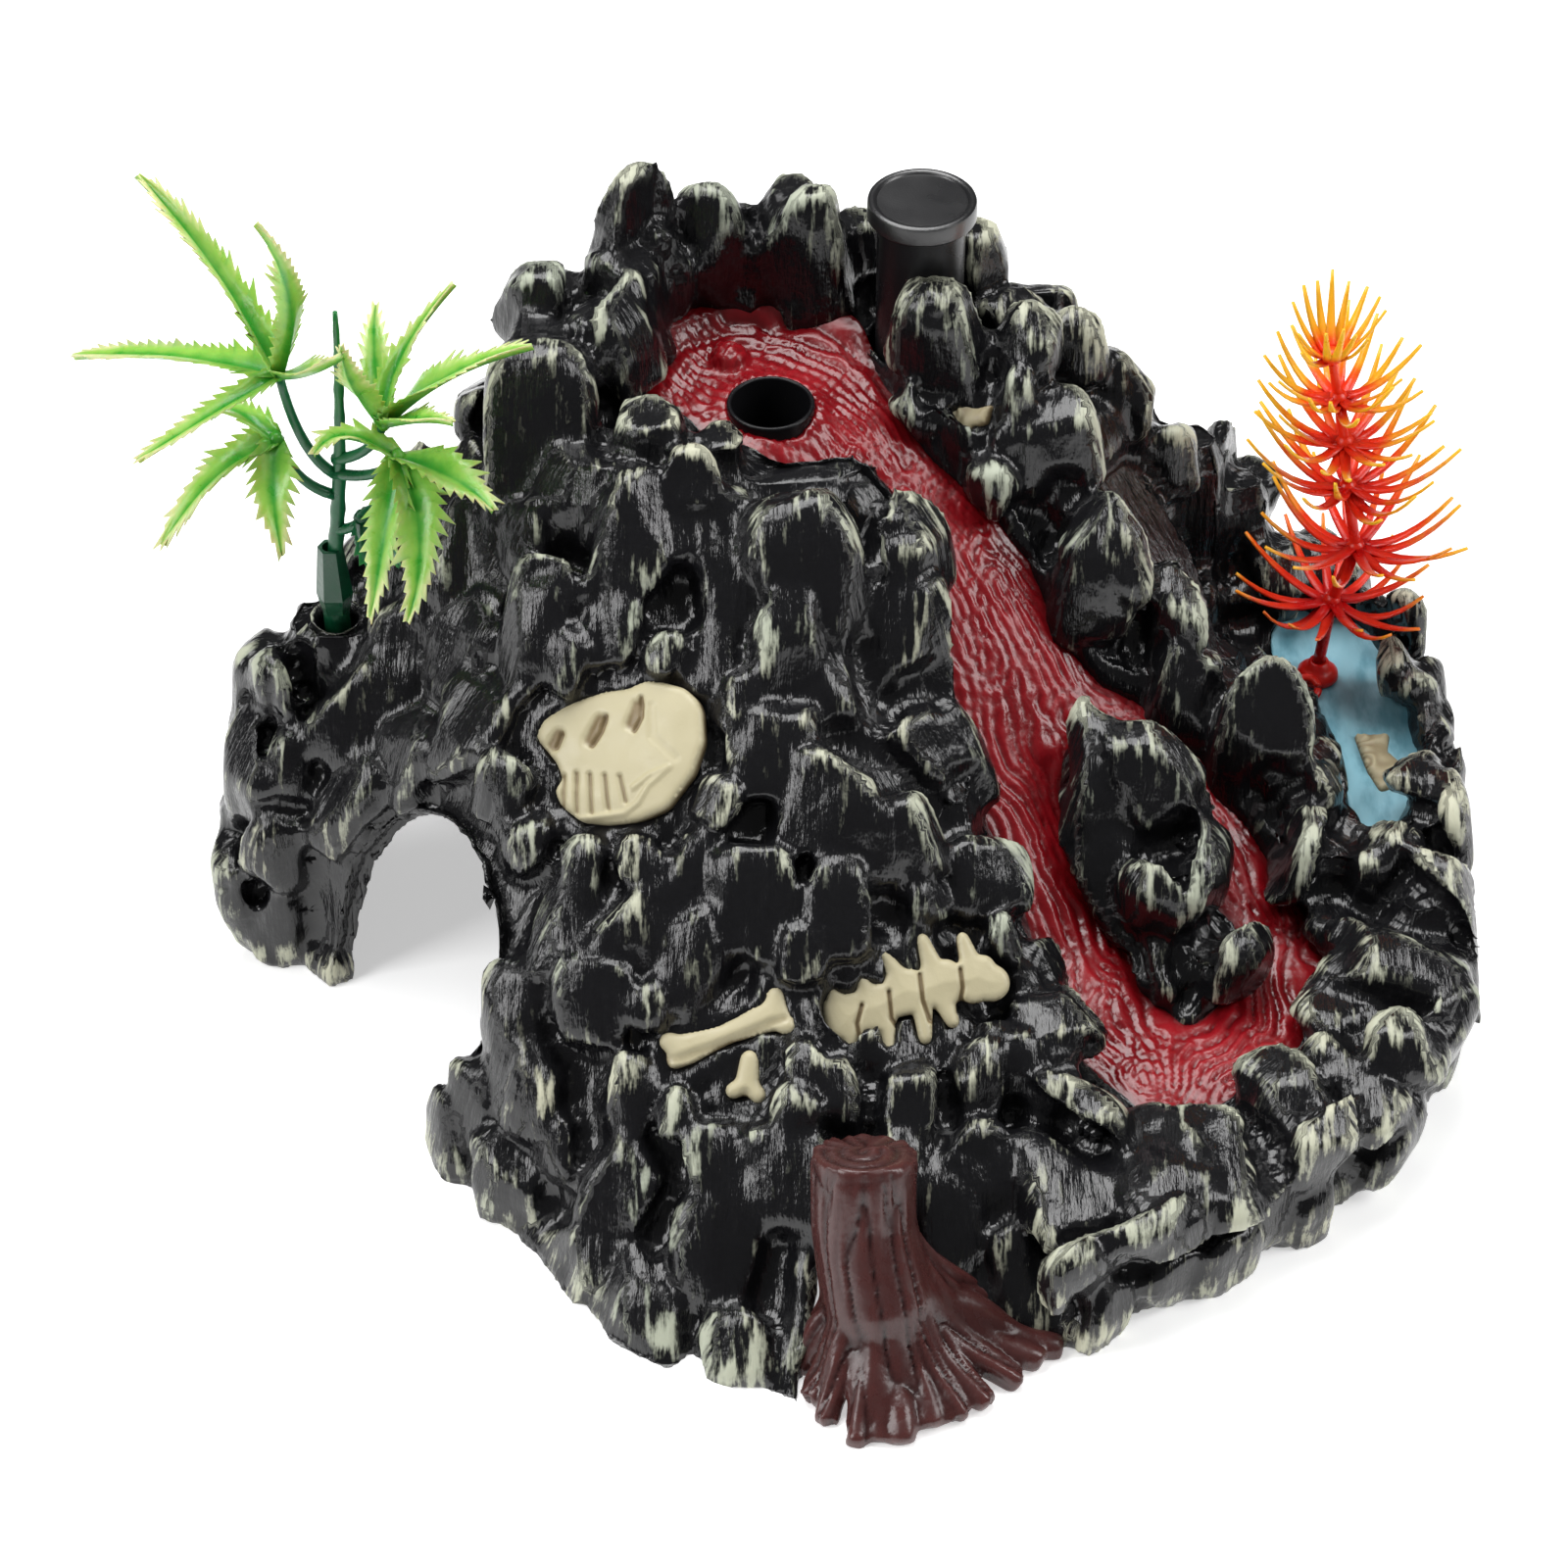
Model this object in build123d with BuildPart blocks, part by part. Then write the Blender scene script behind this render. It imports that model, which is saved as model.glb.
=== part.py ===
"""Volcano-shaped bubbling ornament for an aquarium, in millimetres.

+Z is up, +X to the right and -Y to the front, where the tree stump stands.
The origin is the centre of the object's box, at the height of its bottom rim.
"""

from build123d import *
import math
import os

os.makedirs("parts", exist_ok=True)

# ---------------------------------------------------------------- driving dimensions
WALL = 4.5  # moulded wall, measured through the slope
CAVITY_INSET = 7.0  # how far the hollow stays inside the outline, in plan
CAVITY_TOP = 106.0
CAVITY_TOP_BETWEEN = (92, 122)  # the two outlines that the hollow's ceiling lies between
TALL = 240.0  # longer than anything that a tool cuts through
FIT = 0.3  # gap between a loose piece and what it sits in
PRESS = 0.05  # gap of a push fit

# Mountain outline, counter-clockwise from the front, at five heights.
MOUNTAIN = {
    0: [(10, -122), (60, -103), (100, -76), (128, -20), (134, 60), (95, 120), (15, 131),
        (-60, 121), (-105, 93), (-129, 45), (-112, 10), (-92, -12), (-75, -52), (-42, -93)],
    45: [(8, -60), (36, -46), (56, -12), (100, 10), (110, 62), (90, 110), (15, 123),
         (-58, 114), (-100, 88), (-126, 45), (-110, 16), (-90, 10), (-70, -28), (-40, -48)],
    75: [(3, -20), (24, -14), (42, 16), (74, 42), (100, 74), (84, 104), (12, 119),
         (-54, 109), (-92, 83), (-117, 50), (-101, 30), (-81, 26), (-62, -2), (-34, -18)],
    92: [(0, 3), (18, 6), (33, 32), (56, 52), (86, 84), (72, 101), (10, 116),
         (-48, 105), (-72, 86), (-90, 64), (-82, 46), (-70, 34), (-54, 14), (-30, 4)],
    122: [(-6, 44), (12, 46), (30, 58), (42, 72), (54, 88), (50, 102), (5, 117),
          (-40, 108), (-56, 94), (-66, 76), (-63, 62), (-56, 52), (-44, 44), (-26, 41)],
}
RIM_SHELF = [(60, -103), (100, -80), (130, -58), (148, -30), (160, 5), (160, 50), (147, 88),
             (112, 116), (60, 126), (60, 20)]
RIM_SHELF_TOP = 26.0
POOL_SHELF = [(108, 12), (136, 4), (156, 12), (158, 50), (148, 86), (116, 112), (96, 90)]
POOL_SHELF_TOP = 41.0

# The lava runs downhill along one direction in plan; its surface is a profile along it.
FLOW_AZIMUTH = -60.0
LAVA_PROFILE = [(-122, 119), (-54, 117), (-36, 101), (-9, 80), (8, 61), (40, 34), (68, 23), (112, 19)]
LAVA_THICK = 4.0
LAVA_OUTLINE = [(-9, 113), (-29, 103), (-38, 90), (-30, 75), (-15, 62), (0, 54), (16, 57), (29, 48),
                (31, 34), (37, 21), (46, 4), (55, -12), (60, -26), (67, -43), (84, -60), (107, -46),
                (118, -30), (124, -12), (121, 0), (112, 13), (104, 24), (94, 34), (84, 38), (72, 38),
                (62, 43), (56, 54), (46, 64), (35, 68), (26, 76), (21, 88), (16, 99), (5, 110)]
ISLAND_OUTLINE = [(62, 15), (64, 22), (74, 27), (86, 28), (91, 17), (95, 4), (104, -5),
                  (104, -18), (90, -30), (81, -23), (75, -4), (68, 4)]

# Pool on the right-hand shelf, with a small fossil on its floor.
POOL_OUTLINE = [(119, 87), (125, 96), (140, 91), (147, 72), (148, 42), (141, 18), (133, 18),
                (131, 42), (127, 62), (119, 73)]
POOL_TOP = 38.0
POOL_THICK = 3.0
POOL_FOSSIL = (140.0, 42.0)
POOL_FOSSIL_OUTLINE = [(-5, 9), (3, 9), (2, 3), (5, -1), (4, -9), (-1, -10), (-3, -4), (-4, 2)]

# Crater outlet: sleeve, lock ring, cup and air stone on one vertical axis.
OUTLET = (-3.0, 72.0)
SLEEVE_R = 10.0
SLEEVE_BORE_R = 8.9
SLEEVE_TOP = 121.0
SLEEVE_BOTTOM = 86.0
RING_R = 14.0
RING = (101.5, 106.0)  # bottom and top of the lock ring
RING_NOTCHES = 8
RING_NOTCH_R = 1.2
CUP_R = 12.5
CUP_TOP = 100.0
CUP_BOTTOM = 60.0
CUP_FLOOR = 3.0
CHAMBER_R = 9.2
STONE_R = 7.5
STONE_HEIGHT = 19.0
STONE_CHAMFER = 1.5
NIPPLE_R = 1.6
BARB_R = 2.5
BARB_LENGTH = 14.0

# Service tube with its cap, behind the crater.
TUBE = (31.0, 96.0)
TUBE_TOP = 155.0
TUBE_BOTTOM = 44.0
TUBE_COLLAR = 20.0  # solid rock kept round the tube, below the hollow's ceiling
TUBE_BORE = 30.0  # how far below that ceiling the tube's bore starts
CAP_R = 12.4
CAP_TOP = 160.0
CAP_PLUG = 8.0
CAP_PLUG_R = 9.0
CAP_PLUG_WALL = 1.6
CAP_FILLET = 0.8
CAP_GAP = 0.2

# Openings at the foot of the shell.
ARCH_WIDTH = 54.0
ARCH_HEIGHT = 58.0
FRONT_ARCH = (-94.0, -20.0, 212.0)  # x, y and the heading that it faces
REAR_ARCH = (-88.0, 96.0, 137.0)
ARCH_BACK = 34.0  # how far inwards from that point the tunnel starts
ARCH_RUN = 90.0
ARCH_BELOW = 10.0  # how far below the rim it is cut
PILLAR = (-118.0, 34.0, 70.0)  # x, y and heading of the solid pillar between the arches
PILLAR_SIZE = (60, 22)
HOSE_NOTCH_X = 40.0
HOSE_NOTCH = 9.0  # width and height of the notch in the rear rim

# Palm: its peg sits in a socket on the left-hand ridge, and the stem turns in the plug.
PALM = (-102.0, 45.0)
PALM_SEAT = 83.0
PALM_PEG_R = 3.0
PALM_PEG = 14.0
PALM_PLUG_R = 4.2
PALM_PLUG_TOP = 101.0
PALM_PLUG_LEVELS = [(0, 0.8), (0.25, 1.0), (1.0, 0.7)]  # share of its height, and how wide it is there
PALM_SOCKET = 10.0  # depth of the stem's socket in the plug
PALM_STEM_R = 1.8
PALM_STEM_TIP_R = 0.6
PALM_BRANCH_R = (1.3, 1.0)
PALM_TOP = (-96.0, 45.0, 166.0)
LEAF_THICK = 1.2
LEAF_TIP = 0.8
LEAF_FOOT_SHARE = 0.45  # width where a leaf leaves its hub, as a share of its full width
# Hub of each leaf cluster, then the middle and the tip of each of its leaves, and the leaf's width.
PALM_LEAVES = [
    ((-109, 42, 152), [((-121, 46, 178), (-135, 50, 198), 9), ((-104, 36, 178), (-108, 30, 200), 6),
                       ((-134, 54, 148), (-159, 70, 136), 8), ((-124, 32, 148), (-139, 26, 141), 6),
                       ((-101, 30, 162), (-92, 20, 174), 6)]),
    ((-87, 40, 140), [((-83, 45, 154), (-71, 50, 170), 5), ((-89, 50, 150), (-89, 60, 157), 6),
                      ((-91, 30, 158), (-92, 20, 176), 6), ((-72, 32, 159), (-53, 27, 171), 8),
                      ((-77, 24, 154), (-69, 10, 164), 5)]),
    ((-111, 42, 134), [((-125, 36, 128), (-137, 30, 114), 9), ((-111, 30, 129), (-109, 20, 119), 8),
                       ((-121, 50, 136), (-128, 58, 128), 6)]),
    ((-84, 36, 134), [((-87, 25, 122), (-91, 18, 103), 8), ((-79, 22, 124), (-82, 11, 108), 9),
                      ((-71, 24, 138), (-62, 15, 136), 9), ((-95, 36, 140), (-101, 28, 141), 6)]),
    ((-94, 42, 112), [((-89, 39, 119), (-84, 34, 119), 4), ((-90, 44, 104), (-86, 38, 101), 4),
                      ((-93, 36, 108), (-90, 30, 104), 4)]),
]
PALM_BRANCHES = [122.0, 126.0, 116.0, 122.0, 106.0]  # where each branch leaves the stem

# Fern: its peg sits in the pool floor and its stem turns in the foot.
FERN = (128.0, 72.0)
FERN_SOCKET_BOTTOM = 28.0
FERN_PEG_R = 2.5
FERN_FOOT_R = 5.0
FERN_FOOT = 5.0
FERN_FOOT_FILLET = 1.5
FERN_STEM_R = 1.3
# Centre of each whorl, from the lowest, then the length and the rise of its leaves.
FERN_WHORLS = [((130, 72, 62), 25.5, 10), ((133, 72, 79), 27, 14), ((130, 72, 96), 25, 18),
               ((128, 72, 110), 22, 14), ((125, 72, 122), 19, 17), ((123, 72, 134), 11, 17)]
FERN_NEEDLES = 9
NEEDLE_WIDTH = 1.8
NEEDLE_TIP_R = 0.3
WHORL_TWIST = 17  # degrees that each whorl is turned from the one below
HUB_R = 2.6
HUB_HALF = 1.5

# Tree stump: outline of its roots, then centre, radius and height up the trunk.
STUMP_ROOTS = [(2, -110), (4, -119), (14, -131), (24, -130), (34, -124), (43, -121), (50, -113),
               (61, -104), (52, -92), (30, -88), (10, -95)]
STUMP_TRUNK = [(19, -100, 15, 18), (17, -93, 12, 30), (17, -85, 11, 45)]
STUMP_ROOT_HEIGHT = 6.0
STUMP_ROOT_DRAFT = 2.0
STUMP_FIRST_ROOT = 200  # heading of the first root, in degrees
STUMP_BACK = (17, -112, 0)  # a point on the plane that cuts off its back
STUMP_BACK_NORMAL = (0, -45, 62)


def inset(outline, distance):
    """Moves each corner of a counter-clockwise outline inwards along its two sides' bisector."""
    moved = []
    for i, corner in enumerate(outline):
        here = Vector(*corner)
        before = (here - Vector(*outline[i - 1])).normalized()
        after = (Vector(*outline[(i + 1) % len(outline)]) - here).normalized()
        inwards = Vector(-before.Y, before.X) + Vector(-after.Y, after.X)
        half = inwards.normalized()
        reach = distance / max(0.5, half.dot(Vector(-before.Y, before.X)))
        point = here + half * reach
        moved.append((point.X, point.Y))
    return moved


def between(low, high, share):
    """The outline a share of the way from one outline to another."""
    return [(a[0] + (b[0] - a[0]) * share, a[1] + (b[1] - a[1]) * share) for a, b in zip(low, high)]


# Share of a boulder's height, and how wide it is there.
BOULDER_LEVELS = [(0, 0.95), (0.45, 1.05), (0.84, 0.9), (1, 0.55)]
BOULDER_SIDES = 6
BOULDER_TWIST = 11  # degrees that every other corner is turned, so that no two sides match


def boulder(x, y, bottom, top, width, depth, heading=0.0, lean=(0.0, 0.0)):
    """Corners of a rock standing at x, y: a six-sided pillar with broad shoulders and a small top."""
    points = []
    for share, scale in BOULDER_LEVELS:
        for k in range(BOULDER_SIDES):
            angle = math.radians(heading + 360 * k / BOULDER_SIDES + BOULDER_TWIST * (k % 2))
            across = math.cos(angle) * width / 2 * scale
            along = math.sin(angle) * depth / 2 * scale
            points.append((x + lean[0] * share + across, y + lean[1] * share + along,
                           bottom + (top - bottom) * share))
    return points


# x, y, bottom, top, width, depth, heading, lean in plan
CREST = [
    (-60, 72, 84, 140, 24, 24, 10, (5, 2)), (-44, 70, 84, 142, 26, 24, 0, (3, 8)),
    (-33, 96, 96, 165, 30, 24, 0, (3, 2)), (-52, 92, 90, 140, 24, 24, 30, (2, 0)),
    (-14, 112, 96, 147, 24, 20, 15, (0, 0)), (2, 116, 96, 150, 22, 18, 0, (0, 0)),
    (17, 116, 90, 142, 20, 18, 25, (0, -2)), (46, 108, 86, 144, 18, 20, 20, (-2, 0)),
]
FRONT_RIM = [
    (-58, 50, 74, 122, 26, 26, 0, (4, 6)), (-34, 40, 66, 134, 28, 26, 15, (4, 12)),
    (-14, 42, 66, 129, 24, 26, 0, (0, 10)), (8, 34, 62, 120, 24, 26, 25, (2, 10)),
    (22, 30, 56, 108, 20, 24, 0, (2, 8)), (-70, 62, 70, 112, 26, 26, 20, (4, 4)),
]
LEFT_BANK = [(26, 14, 50, 92, 20, 26, 10, (2, 4)), (38, -6, 34, 72, 20, 28, 0, (0, 6)),
             (46, -28, 20, 54, 20, 26, 15, (0, 4)), (56, -50, 6, 38, 22, 24, 0, (0, 4)),
             (66, -70, 0, 30, 22, 22, 20, (0, 2))]
RIGHT_RIDGE = [
    (42, 85, 80, 132, 18, 18, 0, (0, 0)), (54, 80, 70, 126, 24, 26, 0, (-2, 0)),
    (66, 68, 56, 108, 24, 26, 20, (-2, 0)), (79, 56, 46, 92, 24, 26, 0, (-2, 0)),
    (92, 53, 40, 80, 24, 26, 10, (-2, 0)),
    (105, 41, 30, 68, 22, 26, 30, (-2, 0)), (116, 28, 20, 56, 22, 24, 0, (-2, 0)),
    (124, 10, 10, 44, 20, 22, 15, (0, 0)), (106, 66, 30, 56, 20, 26, 0, (-2, 0)),
]
SKYLINE = [(62, 102, 66, 122, 26, 26, 0, (0, 0)), (80, 102, 50, 104, 26, 26, 20, (0, 0)),
           (97, 100, 40, 92, 26, 26, 0, (0, 0)), (112, 107, 30, 74, 20, 22, 10, (0, 0))]
LEFT_LEG = [
    (-118, 26, 0, 60, 22, 30, 20, (4, 8)), (-118, 48, 0, 80, 20, 34, 0, (8, 0)),
    (-102, 45, 50, 84, 28, 28, 0, (0, 0)), (-84, 48, 60, 102, 28, 28, 10, (2, 6)),
]
ISLAND_ROCKS = [(77, 14, 30, 66, 26, 26, 0, (0, 2)), (87, -3, 20, 52, 22, 28, 10, (0, 0)),
                (95, -16, 10, 38, 20, 24, 20, (0, 0))]
# x, y and top of the rim rocks, from the front round the right-hand side to the back
RIM_ROCKS = [(82, -80, 27), (99, -69, 28), (116, -56, 29), (131, -40, 31),
             (141, -22, 34), (145, -3, 40), (147, 18, 46), (147, 40, 48), (146, 62, 48),
             (141, 82, 49), (127, 98, 52)]
RIM_ROCK_SIZE = (24, 22)
RIM_ROCK_TURN = 25  # degrees from one rim rock to the next


def flow_plane():
    """Upright plane whose x axis is the way that the lava runs in plan."""
    heading = math.radians(FLOW_AZIMUTH)
    return Plane(origin=(0, 0, 0), x_dir=(math.cos(heading), math.sin(heading), 0),
                 z_dir=(math.sin(heading), -math.cos(heading), 0))


def profile_band(low, high):
    """Closed profile between the lava's surface lowered by low and the same raised to high."""
    under = [(s, z - low) for s, z in LAVA_PROFILE]
    over = [(s, z + high) for s, z in reversed(LAVA_PROFILE)]
    return under + over


def slope_plane(x, y, z, normal):
    """Plane on the slope: its x axis is level and its y axis points uphill."""
    across = Vector(0, 0, 1).cross(Vector(*normal))
    return Plane(origin=(x, y, z), x_dir=across, z_dir=normal)


# ---------------------------------------------------------------- lava and pool
def lava_prism(low, high, margin):
    """The lava's plan, less the island, between two offsets of its surface."""
    with BuildPart() as prism:
        with BuildSketch():
            Polygon(*inset(LAVA_OUTLINE, -margin), align=None)
            if margin == 0:
                Polygon(*ISLAND_OUTLINE, align=None, mode=Mode.SUBTRACT)
        extrude(amount=TALL)
        with BuildSketch(flow_plane()):
            Polygon(*profile_band(low, high), align=None)
        extrude(amount=TALL, both=True, mode=Mode.INTERSECT)
    return prism.part


def pool_prism(bottom, top, margin):
    """The pool's plan between two heights."""
    with BuildPart() as prism:
        with BuildSketch(Plane.XY.offset(bottom)):
            Polygon(*inset(POOL_OUTLINE, -margin), align=None)
        extrude(amount=top - bottom)
    return prism.part


# ---------------------------------------------------------------- reliefs
SKULL_PLANE = slope_plane(-36, -7, 82, (-0.31, -0.55, 0.78))
SPINE_PLANE = slope_plane(30, -45, 48, (0.05, -0.62, 0.78))
BONE_PLANE = slope_plane(-12, -55, 45, (-0.1, -0.6, 0.79))
WALL_PLANE = slope_plane(40, 70, 116, (-0.5, -0.5, 0.7))
RELIEF_SUNK = 2.0
RELIEF_PROUD = 1.6
RELIEF_BACKING = 24.0  # radius of solid wall kept behind each relief
SKULL_FILLET = 1.2
SKULL_OUTLINE = [(-21, -3), (-21, 1), (-16, 7), (-10, 11.5), (-5, 14), (-2, 17), (2, 18), (7, 18.5),
                 (11, 17), (13, 15), (16, 9), (16.5, 2), (14, -7), (9, -12), (3, -15), (-3, -16.5),
                 (-9, -15), (-12, -12.5), (-11, -9.5), (-14, -6.5), (-18, -4.5)]
VERTEBRAE = [(-17, -5), (-10.5, -3.5), (-3.5, -0.5), (4.5, 1), (12.5, 1.5)]
VERTEBRA = (8.6, 9.4)
VERTEBRA_CORNER = 2.4
VERTEBRA_TURN = 12
TAIL = (15.5, 0.5)  # rounded end of the last vertebra
TAIL_R = 3.8
SPIKES = [((-18.5, -2), (-19.5, 0.5)), ((-11.5, -1), (-14, 4.5)), ((-4, 2), (-7.5, 7.5)),
          ((3, 4), (1, 11)), ((11.5, 4), (9.8, 10.8))]  # foot and tip
SPIKE_R = (2.2, 1.1)  # foot and tip
RIBS = [((-15, -8), (-17.5, -14)), ((-8, -6), (-8, -13)), ((0, -4), (0.2, -10.8)),
        ((4.8, -3), (6.5, -7.6))]
RIB_R = (2.0, 1.2)
LONG_SHAFT = [((-1, -0.5), (-9.5, -5)), ((-1, -0.5), (9, 5))]  # from the middle to each end
LONG_SHAFT_R = (1.9, 3.2)
LONG_KNUCKLES = [(-13, -3.6), (-11, -7.2), (8.8, 9), (12, 3)]
LONG_KNUCKLE_R = (2.4, 1.9)
SHORT_SHAFT = [((5, -5.2), (5.2, -10.5))]
SHORT_SHAFT_R = (1.8, 2.4)
SHORT_KNUCKLES = [(2.4, -12.4), (8, -12.8)]
SHORT_KNUCKLE_R = (1.4, 1.6)
WALL_FOSSIL_SCALE = 0.8
WALL_FOSSIL_OUTLINE = [(-6, 1), (-3, 5), (1, 3), (5, 6), (6, 1), (3, -2), (4, -6), (-1, -4), (-5, -5)]


def skull_sketch():
    """Long-jawed skull, nose to the lower left."""
    with BuildSketch() as face:
        Polygon(*SKULL_OUTLINE, align=None)
        fillet(face.vertices(), SKULL_FILLET)
    return face.sketch


def strut(foot, tip, radii):
    """Rounded bar between two points, with its own radius at each end."""
    with BuildSketch() as face:
        with Locations(foot):
            Circle(radii[0])
        with Locations(tip):
            Circle(radii[1])
        make_hull()
    return face.sketch


def spine_sketch():
    """Five vertebrae in a row, each with a spike above, and the first four with a rib below."""
    with BuildSketch() as face:
        with Locations(*VERTEBRAE):
            RectangleRounded(*VERTEBRA, VERTEBRA_CORNER, rotation=VERTEBRA_TURN)
        with Locations(TAIL):
            Circle(TAIL_R)
        for foot, tip in SPIKES:
            add(strut(foot, tip, SPIKE_R))
        for foot, tip in RIBS:
            add(strut(foot, tip, RIB_R))
    return face.sketch


def shaft_end(shaft, knuckle):
    """The end of a bone's shaft that lies nearest to a knuckle."""
    return min((tip for foot, tip in shaft), key=lambda tip: math.dist(tip, knuckle))


def bone_sketch():
    """A long bone with knuckled ends, and the knuckled half of a short one below it."""
    with BuildSketch() as face:
        for shaft, shaft_r, knuckles, knuckle_r in (
            (LONG_SHAFT, LONG_SHAFT_R, LONG_KNUCKLES, LONG_KNUCKLE_R),
            (SHORT_SHAFT, SHORT_SHAFT_R, SHORT_KNUCKLES, SHORT_KNUCKLE_R),
        ):
            for foot, tip in shaft:
                add(strut(foot, tip, shaft_r))
            for knuckle in knuckles:
                add(strut(shaft_end(shaft, knuckle), knuckle, knuckle_r))
    return face.sketch


def fossil_sketch(outline, scale):
    """Small irregular splash of a fossil."""
    with BuildSketch() as face:
        Polygon(*[(x * scale, y * scale) for x, y in outline], align=None)
    return face.sketch


def relief(plane, sketch, low, high):
    """A sketch on a slope plane, thickened from low to high along the plane's normal."""
    with BuildPart() as piece:
        add(plane.offset(low) * sketch)
        extrude(amount=high - low)
    return piece.part


RELIEFS = {
    "skull_plaque": (SKULL_PLANE, skull_sketch()),
    "spine_relief": (SPINE_PLANE, spine_sketch()),
    "bone_reliefs": (BONE_PLANE, bone_sketch()),
    "wall_fossil": (WALL_PLANE, fossil_sketch(WALL_FOSSIL_OUTLINE, WALL_FOSSIL_SCALE)),
}
BACKED = ("skull_plaque", "spine_relief", "bone_reliefs")


# ---------------------------------------------------------------- rock shell
def cavity_part():
    """The hollow under the shell, which leaves a floor under the lava, the pool and the sockets."""
    levels = {z: inset(outline, CAVITY_INSET) for z, outline in MOUNTAIN.items() if z < CAVITY_TOP}
    low, high = CAVITY_TOP_BETWEEN
    share = (CAVITY_TOP - low) / (high - low)
    levels[CAVITY_TOP] = inset(between(MOUNTAIN[low], MOUNTAIN[high], share), CAVITY_INSET)
    with BuildPart() as cavity:
        for z, outline in levels.items():
            with BuildSketch(Plane.XY.offset(z)):
                Polygon(*outline, align=None)
        loft(ruled=True)
        with BuildSketch():
            Polygon(*inset(RIM_SHELF, CAVITY_INSET), align=None)
        extrude(amount=RIM_SHELF_TOP - WALL)
        with BuildSketch():
            Polygon(*inset(POOL_SHELF, CAVITY_INSET), align=None)
        extrude(amount=POOL_TOP - POOL_THICK - WALL)
        add(lava_prism(LAVA_THICK + WALL + 1, TALL, WALL), mode=Mode.SUBTRACT)
        add(pool_prism(POOL_TOP - POOL_THICK - WALL, TALL, WALL), mode=Mode.SUBTRACT)
        for name in BACKED:
            with BuildSketch(RELIEFS[name][0].offset(-RELIEF_SUNK - WALL)):
                Circle(RELIEF_BACKING)
            extrude(amount=TALL / 2, mode=Mode.SUBTRACT)
        with BuildSketch(Plane.XY.offset(PALM_SEAT - PALM_PEG - 2 * WALL)):
            with Locations(PALM):
                Circle(PALM_PEG_R + 2 * WALL)
        extrude(amount=TALL, mode=Mode.SUBTRACT)
        with BuildSketch(Plane.XY.offset(FERN_SOCKET_BOTTOM - WALL)):
            with Locations(FERN):
                Circle(FERN_PEG_R + WALL)
        extrude(amount=TALL, mode=Mode.SUBTRACT)
        with BuildSketch(Plane.XY.offset(CAVITY_TOP - TUBE_COLLAR)):
            with Locations(TUBE):
                Circle(SLEEVE_R + WALL)
        extrude(amount=TALL, mode=Mode.SUBTRACT)
        with BuildSketch():
            with Locations(Location(PILLAR[:2], PILLAR[2])):
                Rectangle(*PILLAR_SIZE)
        extrude(amount=ARCH_HEIGHT, mode=Mode.SUBTRACT)
        with BuildSketch(Plane.XY.offset(CUP_TOP)):
            with Locations(OUTLET):
                Circle(RING_R + FIT)
        extrude(amount=CAVITY_TOP - CUP_TOP)
    return cavity.part


def arch_part(x, y, heading):
    """A round-topped tunnel through the wall, facing the heading."""
    turn = math.radians(heading)
    gate = Plane(origin=(x, y, 0), x_dir=(-math.sin(turn), math.cos(turn), 0),
                 z_dir=(math.cos(turn), math.sin(turn), 0))
    spring = ARCH_HEIGHT - ARCH_WIDTH / 2
    with BuildPart() as tunnel:
        with BuildSketch(gate.offset(-ARCH_BACK)):
            with Locations((0, (spring - ARCH_BELOW) / 2)):
                Rectangle(ARCH_WIDTH, spring + ARCH_BELOW)
            with Locations((0, spring)):
                Circle(ARCH_WIDTH / 2)
        extrude(amount=ARCH_RUN)
    return tunnel.part


def stump_part():
    """Stump with fanned roots, cut off behind by a plane just under the slope that it stands on."""
    with BuildPart() as stump:
        for z, shrink in [(0, 0), (STUMP_ROOT_HEIGHT, STUMP_ROOT_DRAFT)]:
            with BuildSketch(Plane.XY.offset(z)):
                Polygon(*inset(STUMP_ROOTS, shrink), align=None)
        for x, y, radius, z in STUMP_TRUNK:
            corners = []
            for k in range(len(STUMP_ROOTS)):
                angle = math.radians(STUMP_FIRST_ROOT + 360 * k / len(STUMP_ROOTS))
                corners.append((x + radius * math.cos(angle), y + radius * math.sin(angle)))
            with BuildSketch(Plane.XY.offset(z)):
                Polygon(*corners, align=None)
        loft(ruled=True)
        split(bisect_by=Plane(origin=STUMP_BACK, x_dir=(1, 0, 0), z_dir=STUMP_BACK_NORMAL), keep=Keep.TOP)
    return stump.part


def round_hole(x, y, radius, bottom, top):
    """Upright cylinder to be cut away."""
    with BuildPart() as hole:
        with BuildSketch(Plane.XY.offset(bottom)):
            with Locations((x, y)):
                Circle(radius)
        extrude(amount=top - bottom)
    return hole.part


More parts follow.
